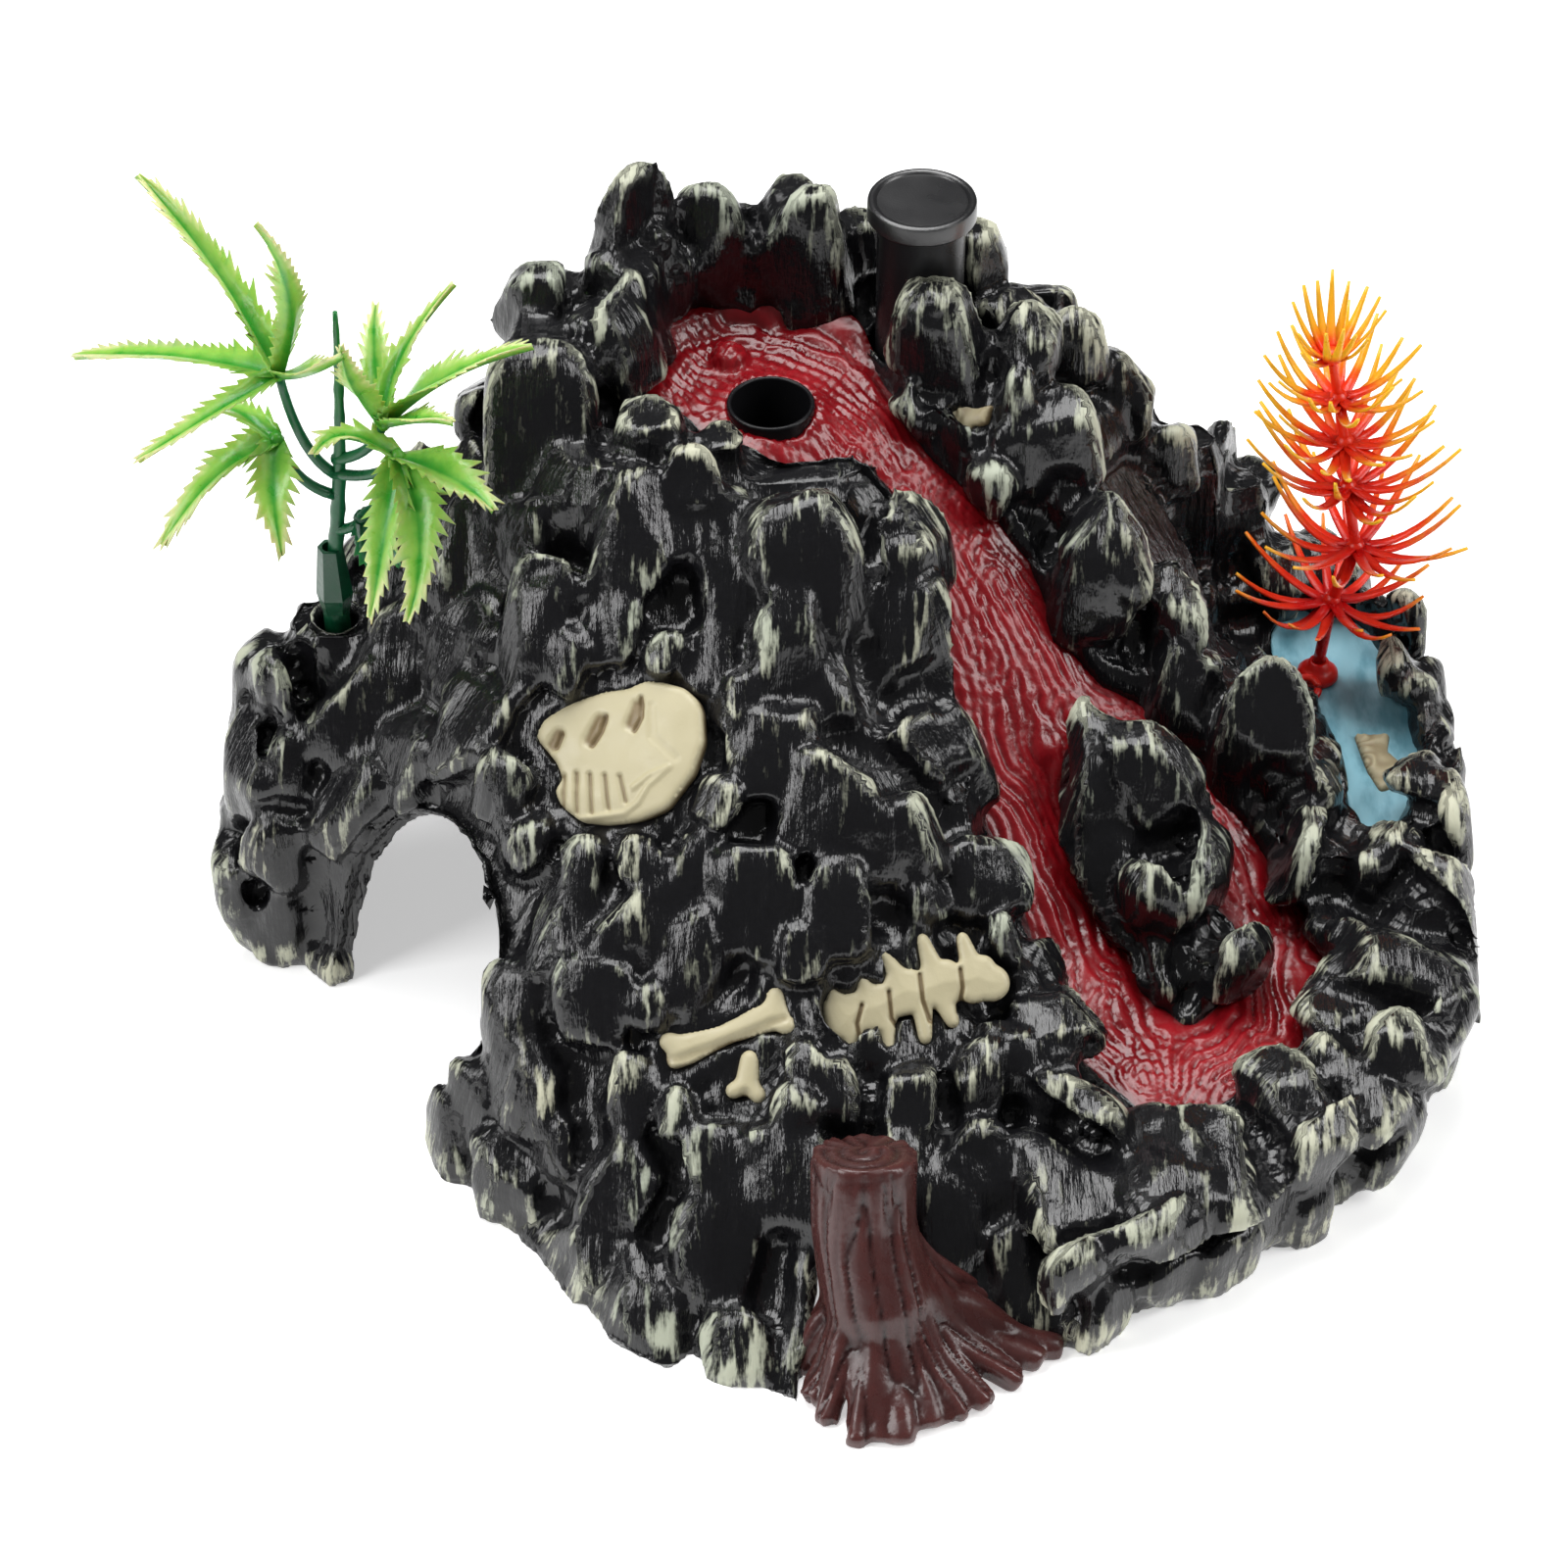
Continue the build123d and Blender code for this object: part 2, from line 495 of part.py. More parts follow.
with BuildPart() as rock_shell:
    for z, outline in MOUNTAIN.items():
        with BuildSketch(Plane.XY.offset(z)):
            Polygon(*outline, align=None)
    loft(ruled=True)
    with BuildSketch():
        Polygon(*RIM_SHELF, align=None)
    extrude(amount=RIM_SHELF_TOP)
    with BuildSketch():
        Polygon(*POOL_SHELF, align=None)
    extrude(amount=POOL_SHELF_TOP)
    for rock in CREST + FRONT_RIM + LEFT_BANK + RIGHT_RIDGE + SKYLINE + LEFT_LEG + ISLAND_ROCKS:
        ConvexPolyhedron(boulder(*rock))
    for i, (x, y, top) in enumerate(RIM_ROCKS):
        ConvexPolyhedron(boulder(x, y, 0, top, *RIM_ROCK_SIZE, heading=RIM_ROCK_TURN * i))
    add(lava_prism(LAVA_THICK, TALL, 0), mode=Mode.SUBTRACT)
    add(pool_prism(POOL_TOP - POOL_THICK, TALL, 0), mode=Mode.SUBTRACT)
    add(cavity_part(), mode=Mode.SUBTRACT)
    add(arch_part(*FRONT_ARCH), mode=Mode.SUBTRACT)
    add(arch_part(*REAR_ARCH), mode=Mode.SUBTRACT)
    for plane, sketch in RELIEFS.values():
        add(relief(plane, sketch, -RELIEF_SUNK, TALL / 4), mode=Mode.SUBTRACT)
    add(stump_part(), mode=Mode.SUBTRACT)
    add(round_hole(*OUTLET, SLEEVE_R + PRESS, CUP_TOP, TALL), mode=Mode.SUBTRACT)
    add(round_hole(*TUBE, SLEEVE_R + PRESS, CAVITY_TOP - TUBE_BORE, TALL), mode=Mode.SUBTRACT)
    add(round_hole(*TUBE, CAP_R + FIT, TUBE_TOP, TALL), mode=Mode.SUBTRACT)
    add(round_hole(*PALM, PALM_PEG_R + FIT, PALM_SEAT - PALM_PEG - FIT, TALL), mode=Mode.SUBTRACT)
    add(round_hole(*PALM, 2 * PALM_PLUG_R, PALM_SEAT - FIT, TALL), mode=Mode.SUBTRACT)
    add(round_hole(*FERN, FERN_PEG_R + FIT, FERN_SOCKET_BOTTOM, TALL), mode=Mode.SUBTRACT)
    with BuildSketch(Plane.XZ.offset(-TALL / 2)):
        with Locations((HOSE_NOTCH_X, HOSE_NOTCH / 2)):
            Rectangle(HOSE_NOTCH, HOSE_NOTCH)
    extrude(amount=TALL / 5, both=True, mode=Mode.SUBTRACT)
rock_shell.part.label = "rock_shell"
export_step(rock_shell.part, "parts/rock_shell.step")


# ---------------------------------------------------------------- pieces seated in the shell
with BuildPart() as lava_flow:
    add(lava_prism(LAVA_THICK, 0, 0))
    add(round_hole(*OUTLET, SLEEVE_R + PRESS, CUP_TOP, TALL), mode=Mode.SUBTRACT)
lava_flow.part.label = "lava_flow"
export_step(lava_flow.part, "parts/lava_flow.step")

with BuildPart() as pool_water:
    add(pool_prism(POOL_TOP - POOL_THICK, POOL_TOP, 0))
    add(round_hole(*FERN, FERN_PEG_R + FIT, 0, TALL), mode=Mode.SUBTRACT)
pool_water.part.label = "pool_water"
export_step(pool_water.part, "parts/pool_water.step")

with BuildPart() as pool_fossil:
    with BuildSketch(Plane.XY.offset(POOL_TOP)):
        with Locations(POOL_FOSSIL):
            add(fossil_sketch(POOL_FOSSIL_OUTLINE, 1.0))
    extrude(amount=RELIEF_PROUD)
pool_fossil.part.label = "pool_fossil"
export_step(pool_fossil.part, "parts/pool_fossil.step")

with BuildPart() as tree_stump:
    add(stump_part())
tree_stump.part.label = "tree_stump"
export_step(tree_stump.part, "parts/tree_stump.step")

for name, (plane, sketch) in RELIEFS.items():
    with BuildPart() as plaque:
        add(relief(plane, sketch, -RELIEF_SUNK, RELIEF_PROUD))
    plaque.part.label = name
    export_step(plaque.part, f"parts/{name}.step")


# ---------------------------------------------------------------- air outlet
with BuildPart() as outlet_sleeve:
    with BuildSketch(Plane.XY.offset(SLEEVE_BOTTOM)):
        with Locations(OUTLET):
            Circle(SLEEVE_R)
            Circle(SLEEVE_BORE_R, mode=Mode.SUBTRACT)
    extrude(amount=SLEEVE_TOP - SLEEVE_BOTTOM)
outlet_sleeve.part.label = "outlet_sleeve"
export_step(outlet_sleeve.part, "parts/outlet_sleeve.step")

with BuildPart() as sleeve_lock_ring:
    with BuildSketch(Plane.XY.offset(RING[0])):
        with Locations(OUTLET):
            Circle(RING_R)
            Circle(SLEEVE_R + PRESS, mode=Mode.SUBTRACT)
    extrude(amount=RING[1] - RING[0])
    with Locations((OUTLET[0], OUTLET[1], RING[0])):
        with PolarLocations(RING_R, RING_NOTCHES):
            Cylinder(RING_NOTCH_R, RING[1] - RING[0], align=(Align.CENTER, Align.CENTER, Align.MIN),
                     mode=Mode.SUBTRACT)
sleeve_lock_ring.part.label = "sleeve_lock_ring"
export_step(sleeve_lock_ring.part, "parts/sleeve_lock_ring.step")

with BuildPart() as diffuser_cup:
    with BuildSketch(Plane.XY.offset(CUP_BOTTOM)):
        with Locations(OUTLET):
            Circle(CUP_R)
    extrude(amount=CUP_TOP - CUP_BOTTOM)
    with BuildSketch(Plane.XY.offset(CUP_BOTTOM - BARB_LENGTH)):
        with Locations(OUTLET):
            Circle(BARB_R)
    extrude(amount=BARB_LENGTH)
    add(round_hole(*OUTLET, SLEEVE_R + PRESS, SLEEVE_BOTTOM, TALL), mode=Mode.SUBTRACT)
    add(round_hole(*OUTLET, CHAMBER_R, CUP_BOTTOM + CUP_FLOOR, TALL), mode=Mode.SUBTRACT)
    add(round_hole(*OUTLET, NIPPLE_R, 0, TALL), mode=Mode.SUBTRACT)
diffuser_cup.part.label = "diffuser_cup"
export_step(diffuser_cup.part, "parts/diffuser_cup.step")

with BuildPart() as air_stone:
    with BuildSketch(Plane.XY.offset(CUP_BOTTOM + CUP_FLOOR)):
        with Locations(OUTLET):
            Circle(STONE_R)
    extrude(amount=STONE_HEIGHT)
    chamfer(air_stone.edges().group_by(Axis.Z)[-1], STONE_CHAMFER)
    with BuildSketch(Plane.XY.offset(CUP_BOTTOM - CUP_FLOOR)):
        with Locations(OUTLET):
            Circle(NIPPLE_R)
    extrude(amount=2 * CUP_FLOOR)
air_stone.part.label = "air_stone"
export_step(air_stone.part, "parts/air_stone.step")


# ---------------------------------------------------------------- service tube and cap
with BuildPart() as service_tube:
    with BuildSketch(Plane.XY.offset(TUBE_BOTTOM)):
        with Locations(TUBE):
            Circle(SLEEVE_R)
            Circle(SLEEVE_BORE_R, mode=Mode.SUBTRACT)
    extrude(amount=TUBE_TOP - TUBE_BOTTOM)
    add(round_hole(*TUBE, CAP_PLUG_R + FIT, TUBE_TOP - CAP_PLUG - 1, TALL), mode=Mode.SUBTRACT)
service_tube.part.label = "service_tube"
export_step(service_tube.part, "parts/service_tube.step")

with BuildPart() as tube_cap:
    with BuildSketch(Plane.XY.offset(TUBE_TOP + CAP_GAP)):
        with Locations(TUBE):
            Circle(CAP_R)
    extrude(amount=CAP_TOP - TUBE_TOP - CAP_GAP)
    fillet(tube_cap.edges().group_by(Axis.Z)[-1], CAP_FILLET)
    with BuildSketch(Plane.XY.offset(TUBE_TOP - CAP_PLUG)):
        with Locations(TUBE):
            Circle(CAP_PLUG_R)
            Circle(CAP_PLUG_R - CAP_PLUG_WALL, mode=Mode.SUBTRACT)
    extrude(amount=CAP_PLUG + CAP_GAP)
tube_cap.part.label = "tube_cap"
export_step(tube_cap.part, "parts/tube_cap.step")


# ---------------------------------------------------------------- plants
def rod(start, end, start_radius, end_radius):
    """Corners of a tapered six-sided rod from one point to another."""
    points = []
    for centre, radius in [(start, start_radius), (end, end_radius)]:
        ring = Plane(origin=centre, z_dir=Vector(*end) - Vector(*start))
        for k in range(6):
            angle = math.radians(60 * k)
            corner = Vector(radius * math.cos(angle), radius * math.sin(angle), 0)
            points.append(ring.from_local_coords(corner))
    return points


def leaf_section(point, along, width):
    """Four corners of a leaf's flat diamond section."""
    side = Vector(*along).cross(Vector(0, 0, 1)).normalized()
    rise = side.cross(Vector(*along)).normalized()
    centre = Vector(*point)
    return [centre - side * width / 2, centre + side * width / 2,
            centre - rise * LEAF_THICK / 2, centre + rise * LEAF_THICK / 2]


with BuildPart() as palm_plug:
    with BuildSketch(Plane.XY.offset(PALM_SEAT - PALM_PEG)):
        with Locations(PALM):
            Circle(PALM_PEG_R)
    extrude(amount=PALM_PEG)
    for low, high in zip(PALM_PLUG_LEVELS, PALM_PLUG_LEVELS[1:]):
        for share, scale in (low, high):
            height = PALM_SEAT + share * (PALM_PLUG_TOP - PALM_SEAT)
            with BuildSketch(Plane.XY.offset(height)):
                with Locations(PALM):
                    RegularPolygon(PALM_PLUG_R * scale, 6)
        loft(ruled=True)
    add(round_hole(*PALM, PALM_STEM_R + PRESS, PALM_PLUG_TOP - PALM_SOCKET, TALL), mode=Mode.SUBTRACT)
palm_plug.part.label = "palm_plug"
export_step(palm_plug.part, "parts/palm_plug.step")

PALM_STEM_LOW = (*PALM, PALM_PLUG_TOP + FIT)


def on_stem(z):
    """Point on the palm's leaning stem at a height."""
    share = (z - PALM_STEM_LOW[2]) / (PALM_TOP[2] - PALM_STEM_LOW[2])
    return tuple(a + (b - a) * share for a, b in zip(PALM_STEM_LOW, PALM_TOP))


with BuildPart() as palm_stem:
    with BuildSketch(Plane.XY.offset(PALM_PLUG_TOP - PALM_SOCKET + FIT)):
        with Locations(PALM):
            Circle(PALM_STEM_R)
    extrude(amount=PALM_SOCKET)
    ConvexPolyhedron(rod(PALM_STEM_LOW, PALM_TOP, PALM_STEM_R, PALM_STEM_TIP_R))
    for height, cluster in zip(PALM_BRANCHES, PALM_LEAVES):
        ConvexPolyhedron(rod(on_stem(height), cluster[0], *PALM_BRANCH_R))
palm_stem.part.label = "palm_stem"
export_step(palm_stem.part, "parts/palm_stem.step")

for number, (hub, leaves) in enumerate(PALM_LEAVES, 1):
    with BuildPart() as cluster:
        for middle, tip, width in leaves:
            inner = Vector(*middle) - Vector(*hub)
            outer = Vector(*tip) - Vector(*middle)
            bend = leaf_section(middle, inner + outer, width)
            ConvexPolyhedron(leaf_section(hub, inner, width * LEAF_FOOT_SHARE) + bend)
            ConvexPolyhedron(bend + leaf_section(tip, outer, LEAF_TIP))
    cluster.part.label = f"palm_leaf_{number}"
    export_step(cluster.part, f"parts/palm_leaf_{number}.step")

with BuildPart() as fern_foot:
    with BuildSketch(Plane.XY.offset(FERN_SOCKET_BOTTOM + FIT)):
        with Locations(FERN):
            Circle(FERN_PEG_R)
    extrude(amount=POOL_TOP - FERN_SOCKET_BOTTOM)
    with BuildSketch(Plane.XY.offset(POOL_TOP + FIT)):
        with Locations(FERN):
            Circle(FERN_FOOT_R)
    extrude(amount=FERN_FOOT)
    fillet(fern_foot.edges().group_by(Axis.Z)[-1], FERN_FOOT_FILLET)
    add(round_hole(*FERN, FERN_STEM_R + PRESS, POOL_TOP + 1, TALL), mode=Mode.SUBTRACT)
fern_foot.part.label = "fern_foot"
export_step(fern_foot.part, "parts/fern_foot.step")

FERN_STEM_LOW = (*FERN, POOL_TOP + FERN_FOOT + 2 * FIT)

with BuildPart() as fern_stem:
    with BuildSketch(Plane.XY.offset(POOL_TOP + 1 + FIT)):
        with Locations(FERN):
            Circle(FERN_STEM_R)
    extrude(amount=FERN_FOOT)
    bends = [FERN_STEM_LOW] + [whorl[0] for whorl in FERN_WHORLS]
    for low, high in zip(bends, bends[1:]):
        ConvexPolyhedron(rod(low, high, FERN_STEM_R, FERN_STEM_R))
fern_stem.part.label = "fern_stem"
export_step(fern_stem.part, "parts/fern_stem.step")

for number, (centre, length, rise) in enumerate(FERN_WHORLS, 1):
    with BuildPart() as whorl:
        middle = Vector(*centre)
        half = Vector(0, 0, HUB_HALF)
        ConvexPolyhedron(rod((middle - half).to_tuple(), (middle + half).to_tuple(), HUB_R, HUB_R))
        for k in range(FERN_NEEDLES):
            angle = math.radians(360 * k / FERN_NEEDLES + WHORL_TWIST * number)
            tip = middle + Vector(length * math.cos(angle), length * math.sin(angle), rise)
            ConvexPolyhedron(rod(centre, tip.to_tuple(), NEEDLE_WIDTH / 2, NEEDLE_TIP_R))
    whorl.part.label = f"fern_whorl_{number}"
    export_step(whorl.part, f"parts/fern_whorl_{number}.step")
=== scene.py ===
"""Looks of the volcano ornament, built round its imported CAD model.

Shapes are worked out in millimetres in the CAD's own frame, and add_piece() turns them into metres.
"""

import math

import bmesh
import bpy
import numpy as np
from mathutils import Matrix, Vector
from mathutils.bvhtree import BVHTree
from mathutils.geometry import delaunay_2d_cdt


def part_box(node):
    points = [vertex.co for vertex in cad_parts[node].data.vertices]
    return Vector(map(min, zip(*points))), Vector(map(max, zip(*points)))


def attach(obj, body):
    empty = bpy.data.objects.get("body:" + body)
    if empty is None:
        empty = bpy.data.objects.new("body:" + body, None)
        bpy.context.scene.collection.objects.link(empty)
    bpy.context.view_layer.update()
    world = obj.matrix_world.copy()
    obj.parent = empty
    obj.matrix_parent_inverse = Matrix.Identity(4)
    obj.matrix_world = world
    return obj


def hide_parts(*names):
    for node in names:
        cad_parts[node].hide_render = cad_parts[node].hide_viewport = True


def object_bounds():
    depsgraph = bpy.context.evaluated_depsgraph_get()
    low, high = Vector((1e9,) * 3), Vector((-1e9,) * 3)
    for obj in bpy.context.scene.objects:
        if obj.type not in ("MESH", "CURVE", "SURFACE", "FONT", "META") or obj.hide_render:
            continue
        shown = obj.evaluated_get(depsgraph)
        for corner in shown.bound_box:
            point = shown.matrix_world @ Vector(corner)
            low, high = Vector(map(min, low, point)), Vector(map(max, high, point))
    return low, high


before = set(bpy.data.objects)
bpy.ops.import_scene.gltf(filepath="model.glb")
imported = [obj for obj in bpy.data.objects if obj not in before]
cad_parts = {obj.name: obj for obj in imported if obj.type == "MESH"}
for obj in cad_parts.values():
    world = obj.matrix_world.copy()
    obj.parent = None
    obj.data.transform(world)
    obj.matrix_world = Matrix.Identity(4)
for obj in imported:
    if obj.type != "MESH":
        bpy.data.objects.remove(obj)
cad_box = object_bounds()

MM = 0.001
VOXEL = 1.35  # size of the rock's mesh cells
RANDOM = np.random.default_rng(11)
UP = np.array([0.0, 0.0, 1.0])
BOX_LOW = np.array(cad_box[0]) / MM
BOX_HIGH = np.array(cad_box[1]) / MM


# ---------------------------------------------------------------- numbers and noise
def unit(vectors):
    """Vectors of length 1."""
    size = np.linalg.norm(vectors, axis=-1, keepdims=True)
    return vectors / np.maximum(size, 1e-9)


def ramp(value, low, high):
    """Smooth step from 0 at low to 1 at high."""
    share = np.clip((value - low) / (high - low), 0, 1)
    return share * share * (3 - 2 * share)


def lattice(i, j, k, seed):
    """Repeatable number between -1 and 1 for each whole-number point."""
    value = (i * 374761393 + j * 668265263 + k * 1442695041 + seed * 974634777) & 0xFFFFFFFF
    value = ((value ^ (value >> 13)) * 1274126177) & 0xFFFFFFFF
    value = value ^ (value >> 16)
    return value / 2147483647.5 - 1


def noise(points, seed=0):
    """Smooth noise between -1 and 1, with features about one unit apart."""
    points = np.asarray(points, float)
    floor = np.floor(points)
    part = points - floor
    ease = part * part * (3 - 2 * part)
    cell = floor.astype(np.int64)
    total = np.zeros(len(points))
    for corner in range(8):
        step = np.array([corner & 1, corner >> 1 & 1, corner >> 2 & 1])
        weight = np.prod(np.where(step, ease, 1 - ease), axis=1)
        total += weight * lattice(*(cell + step).T, seed)
    return total


def on_ground(plan):
    """Plan points as points at height 0."""
    return np.column_stack([plan, np.zeros(len(plan))])


def rope(phase, sharp=0.6):
    """Rounded ridges, 0 in the grooves and 1 on the tops, one for each whole number of the phase."""
    return np.abs(np.sin(math.pi * phase)) ** sharp


# ---------------------------------------------------------------- CAD meshes
def cad_mesh(node):
    """Points and triangles of a CAD node, with shared corners joined."""
    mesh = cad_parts[node].data
    points = np.empty(len(mesh.vertices) * 3)
    mesh.vertices.foreach_get("co", points)
    points = np.round(points.reshape(-1, 3) / MM, 3)
    mesh.calc_loop_triangles()
    corners = np.empty(len(mesh.loop_triangles) * 3, dtype=np.int64)
    mesh.loop_triangles.foreach_get("vertices", corners)
    unique, index = np.unique(points, axis=0, return_inverse=True)
    triangles = index.reshape(-1)[corners].reshape(-1, 3)
    a, b, c = triangles.T
    return unique, triangles[(a != b) & (b != c) & (c != a)]


def cad_tree(*names):
    """Search tree of one or more CAD nodes."""
    points, triangles, count = [], [], 0
    for name in names:
        node_points, node_triangles = cad_mesh(name)
        points += node_points.tolist()
        triangles += (node_triangles + count).tolist()
        count += len(node_points)
    return BVHTree.FromPolygons(points, triangles)


def face_normals(points, triangles):
    """Unit normals and areas of triangles."""
    a, b, c = (points[triangles[:, k]] for k in range(3))
    cross = np.cross(b - a, c - a)
    area = np.linalg.norm(cross, axis=1) / 2
    return cross / np.maximum(2 * area, 1e-9)[:, None], area


def box_mm(node):
    """Lowest and highest corner of a CAD node in millimetres."""
    low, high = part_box(node)
    return np.array(low) / MM, np.array(high) / MM


def axis_mm(node):
    """Middle of a CAD node in plan."""
    low, high = box_mm(node)
    return (low[:2] + high[:2]) / 2


def radius_mm(node):
    """Half the width of a CAD node."""
    low, high = box_mm(node)
    return (high[0] - low[0]) / 2


# ---------------------------------------------------------------- materials
def new_material(name, **sockets):
    """A material with its shader's plain values set, and that shader."""
    material = bpy.data.materials.new(name)
    material.use_nodes = True
    shader = material.node_tree.nodes["Principled BSDF"]
    for socket, value in sockets.items():
        shader.inputs[socket.replace("_", " ")].default_value = value
    return material, shader


def add_node(material, kind, inputs=None, **settings):
    """A shader node with its settings made and its inputs filled or linked."""
    node = material.node_tree.nodes.new("ShaderNode" + kind)
    for key, value in settings.items():
        setattr(node, key, value)
    for key, value in (inputs or {}).items():
        if isinstance(value, bpy.types.NodeSocket):
            material.node_tree.links.new(value, node.inputs[key])
        else:
            node.inputs[key].default_value = value
    return node


def coordinates(material, stretch=(1, 1, 1)):
    """Object coordinates, stretched."""
    place = add_node(material, "TexCoord").outputs["Object"]
    return add_node(material, "Mapping", {"Vector": place, "Scale": stretch}).outputs["Vector"]


def attribute(material, name, output="Fac"):
    """A value stored on the mesh's points."""
    return add_node(material, "Attribute", attribute_name=name).outputs[output]


def noise_of(material, vector, scale, detail=3.0, rough=0.5):
    """Noise texture's value, 0 to 1."""
    inputs = {"Vector": vector, "Scale": scale, "Detail": detail, "Roughness": rough}
    return add_node(material, "TexNoise", inputs).outputs["Fac"]


def math_of(material, operation, a, b=0.0, clamp=False):
    """Result of a math node."""
    return add_node(material, "Math", {0: a, 1: b}, operation=operation, use_clamp=clamp).outputs[0]


def range_of(material, value, low, high, to_low=0.0, to_high=1.0):
    """A value's range stretched to another, with a smooth step."""
    inputs = {"Value": value, "From Min": low, "From Max": high, "To Min": to_low, "To Max": to_high}
    return add_node(material, "MapRange", inputs, interpolation_type="SMOOTHSTEP").outputs["Result"]


def mix_of(material, share, first, second):
    """Mix of two colours."""
    node = add_node(material, "Mix", data_type="RGBA")
    for socket, value in zip((node.inputs[0], node.inputs[6], node.inputs[7]), (share, first, second)):
        if isinstance(value, bpy.types.NodeSocket):
            material.node_tree.links.new(value, socket)
        else:
            socket.default_value = value
    return node.outputs[2]


def bump_of(material, height, distance, strength=1.0, normal=None):
    """Bump from a height, in metres."""
    inputs = {"Height": height, "Distance": distance, "Strength": strength}
    if normal is not None:
        inputs["Normal"] = normal
    return add_node(material, "Bump", inputs).outputs["Normal"]


def painted(material, shader, colour, roughness, normal):
    """The material, with its colour, roughness and bump joined to its shader."""
    for socket, output in (("Base Color", colour), ("Roughness", roughness), ("Normal", normal)):
        material.node_tree.links.new(output, shader.inputs[socket])
    return material


def rgb(r, g, b):
    """Colour with full alpha."""
    return (r, g, b, 1.0)


def rock_material():
    """Glossy moulded black, dry-brushed pale along its edges and down its grooves."""
    material, shader = new_material("black_rock", IOR=1.5)
    flow = attribute(material, "flow", "Vector")
    place = coordinates(material)
    streak = noise_of(material, flow, 520.0, 4.0, 0.6)
    patch = noise_of(material, place, 55.0, 2.0)
    speck = noise_of(material, place, 900.0, 3.0, 0.7)
    brush = attribute(material, "brush")
    paint = math_of(material, "ADD", range_of(material, streak, 0.32, 0.68, 0.22, 0.82), brush)
    paint = math_of(material, "ADD", paint, math_of(material, "MULTIPLY", patch, 0.55))
    paint = math_of(material, "ADD", paint, math_of(material, "MULTIPLY", speck, 0.25))
    share = range_of(material, paint, 1.20, 1.68)
    cloud = noise_of(material, place, 24.0, 1.0)
    tint = mix_of(material, cloud, rgb(0.30, 0.36, 0.30), rgb(0.66, 0.63, 0.46))
    black = mix_of(material, speck, rgb(0.004, 0.004, 0.005), rgb(0.010, 0.010, 0.011))
    colour = mix_of(material, share, black, tint)
    gloss = range_of(material, share, 0.0, 1.0, 0.16, 0.55)
    grooves = bump_of(material, streak, 0.0009, 0.55)
    skin = bump_of(material, noise_of(material, place, 160.0, 3.0), 0.0012, 0.35, grooves)
    return painted(material, shader, colour, gloss, skin)


def lava_material():
    """Glossy red paint, darker in the folds and beside the banks: painted shade."""
    material, shader = new_material("red_lava", Coat_Weight=0.08, Coat_Roughness=0.12)
    place = coordinates(material)
    crest = attribute(material, "crest")
    cloud = noise_of(material, place, 70.0, 3.0)
    # crest is low in the folds and beside the banks, so the red darkens there: painted shade, broken up by
    # cloud noise.
    share = math_of(material, "MULTIPLY", crest, range_of(material, cloud, 0.25, 0.7, 0.45, 1.0))
    colour = mix_of(material, share, rgb(0.060, 0.0006, 0.0015), rgb(0.33, 0.006, 0.012))
    gloss = range_of(material, cloud, 0.3, 0.7, 0.20, 0.34)
    skin = bump_of(material, noise_of(material, place, 420.0, 2.0), 0.0005, 0.35)
    return painted(material, shader, colour, gloss, skin)


def pool_material():
    """Satin blue paint with brush strokes."""
    material, shader = new_material("blue_pool")
    strokes = noise_of(material, coordinates(material, (1.0, 0.35, 1.0)), 170.0, 4.0, 0.6)
    share = range_of(material, strokes, 0.35, 0.62)
    colour = mix_of(material, share, rgb(0.13, 0.34, 0.43), rgb(0.26, 0.53, 0.63))
    gloss = range_of(material, strokes, 0.3, 0.7, 0.32, 0.5)
    return painted(material, shader, colour, gloss, bump_of(material, strokes, 0.0006, 0.5))


def bone_material():
    """Satin cream paint, brown in its hollows and along its rounded rim: painted shade."""
    material, shader = new_material("cream_bone")
    place = coordinates(material)
    crest = attribute(material, "crest")
    fine = noise_of(material, place, 260.0, 4.0, 0.6)
    # Painted shade from crest, in the hollows and at the rim, plus random tone from fine noise.
    shade_and_tone = math_of(material, "ADD", crest, math_of(material, "MULTIPLY", fine, 0.35))
    share = range_of(material, shade_and_tone, 0.35, 0.95)
    colour = mix_of(material, share, rgb(0.21, 0.155, 0.08), rgb(0.48, 0.43, 0.275))
    gloss = range_of(material, fine, 0.3, 0.7, 0.36, 0.55)
    return painted(material, shader, colour, gloss, bump_of(material, fine, 0.0004, 0.4))


def wood_material():
    """Satin brown paint, lighter and redder on the ridges as painted light, darker in the bark grooves as
    painted shade.
    """
    material, shader = new_material("brown_wood")
    place = coordinates(material)
    crest = attribute(material, "crest")
    grain = noise_of(material, coordinates(material, (1.0, 1.0, 0.18)), 380.0, 3.0)
    # Painted light and shade: crest lightens the ridges and darkens the bark grooves.
    colour = mix_of(material, crest, rgb(0.020, 0.005, 0.005), rgb(0.080, 0.025, 0.023))
    colour = mix_of(material, range_of(material, grain, 0.3, 0.7, 0.0, 0.4), colour, rgb(0.045, 0.014, 0.013))
    gloss = range_of(material, grain, 0.3, 0.7, 0.22, 0.36)
    skin = bump_of(material, grain, 0.0005, 0.4)
    skin = bump_of(material, noise_of(material, place, 120.0, 2.0), 0.001, 0.3, skin)
    return painted(material, shader, colour, gloss, skin)


def fitting_material(name, index):
    """Satin black plastic with a faint moulded grain."""
    material, shader = new_material(name, IOR=index)
    place = coordinates(material)
    grain = noise_of(material, place, 2600.0, 2.0)
    wear = noise_of(material, place, 60.0, 3.0)
    colour = mix_of(material, wear, rgb(0.005, 0.005, 0.006), rgb(0.009, 0.009, 0.010))
    gloss = range_of(material, wear, 0.3, 0.7, 0.26, 0.36)
    return painted(material, shader, colour, gloss, bump_of(material, grain, 0.00008, 0.5))


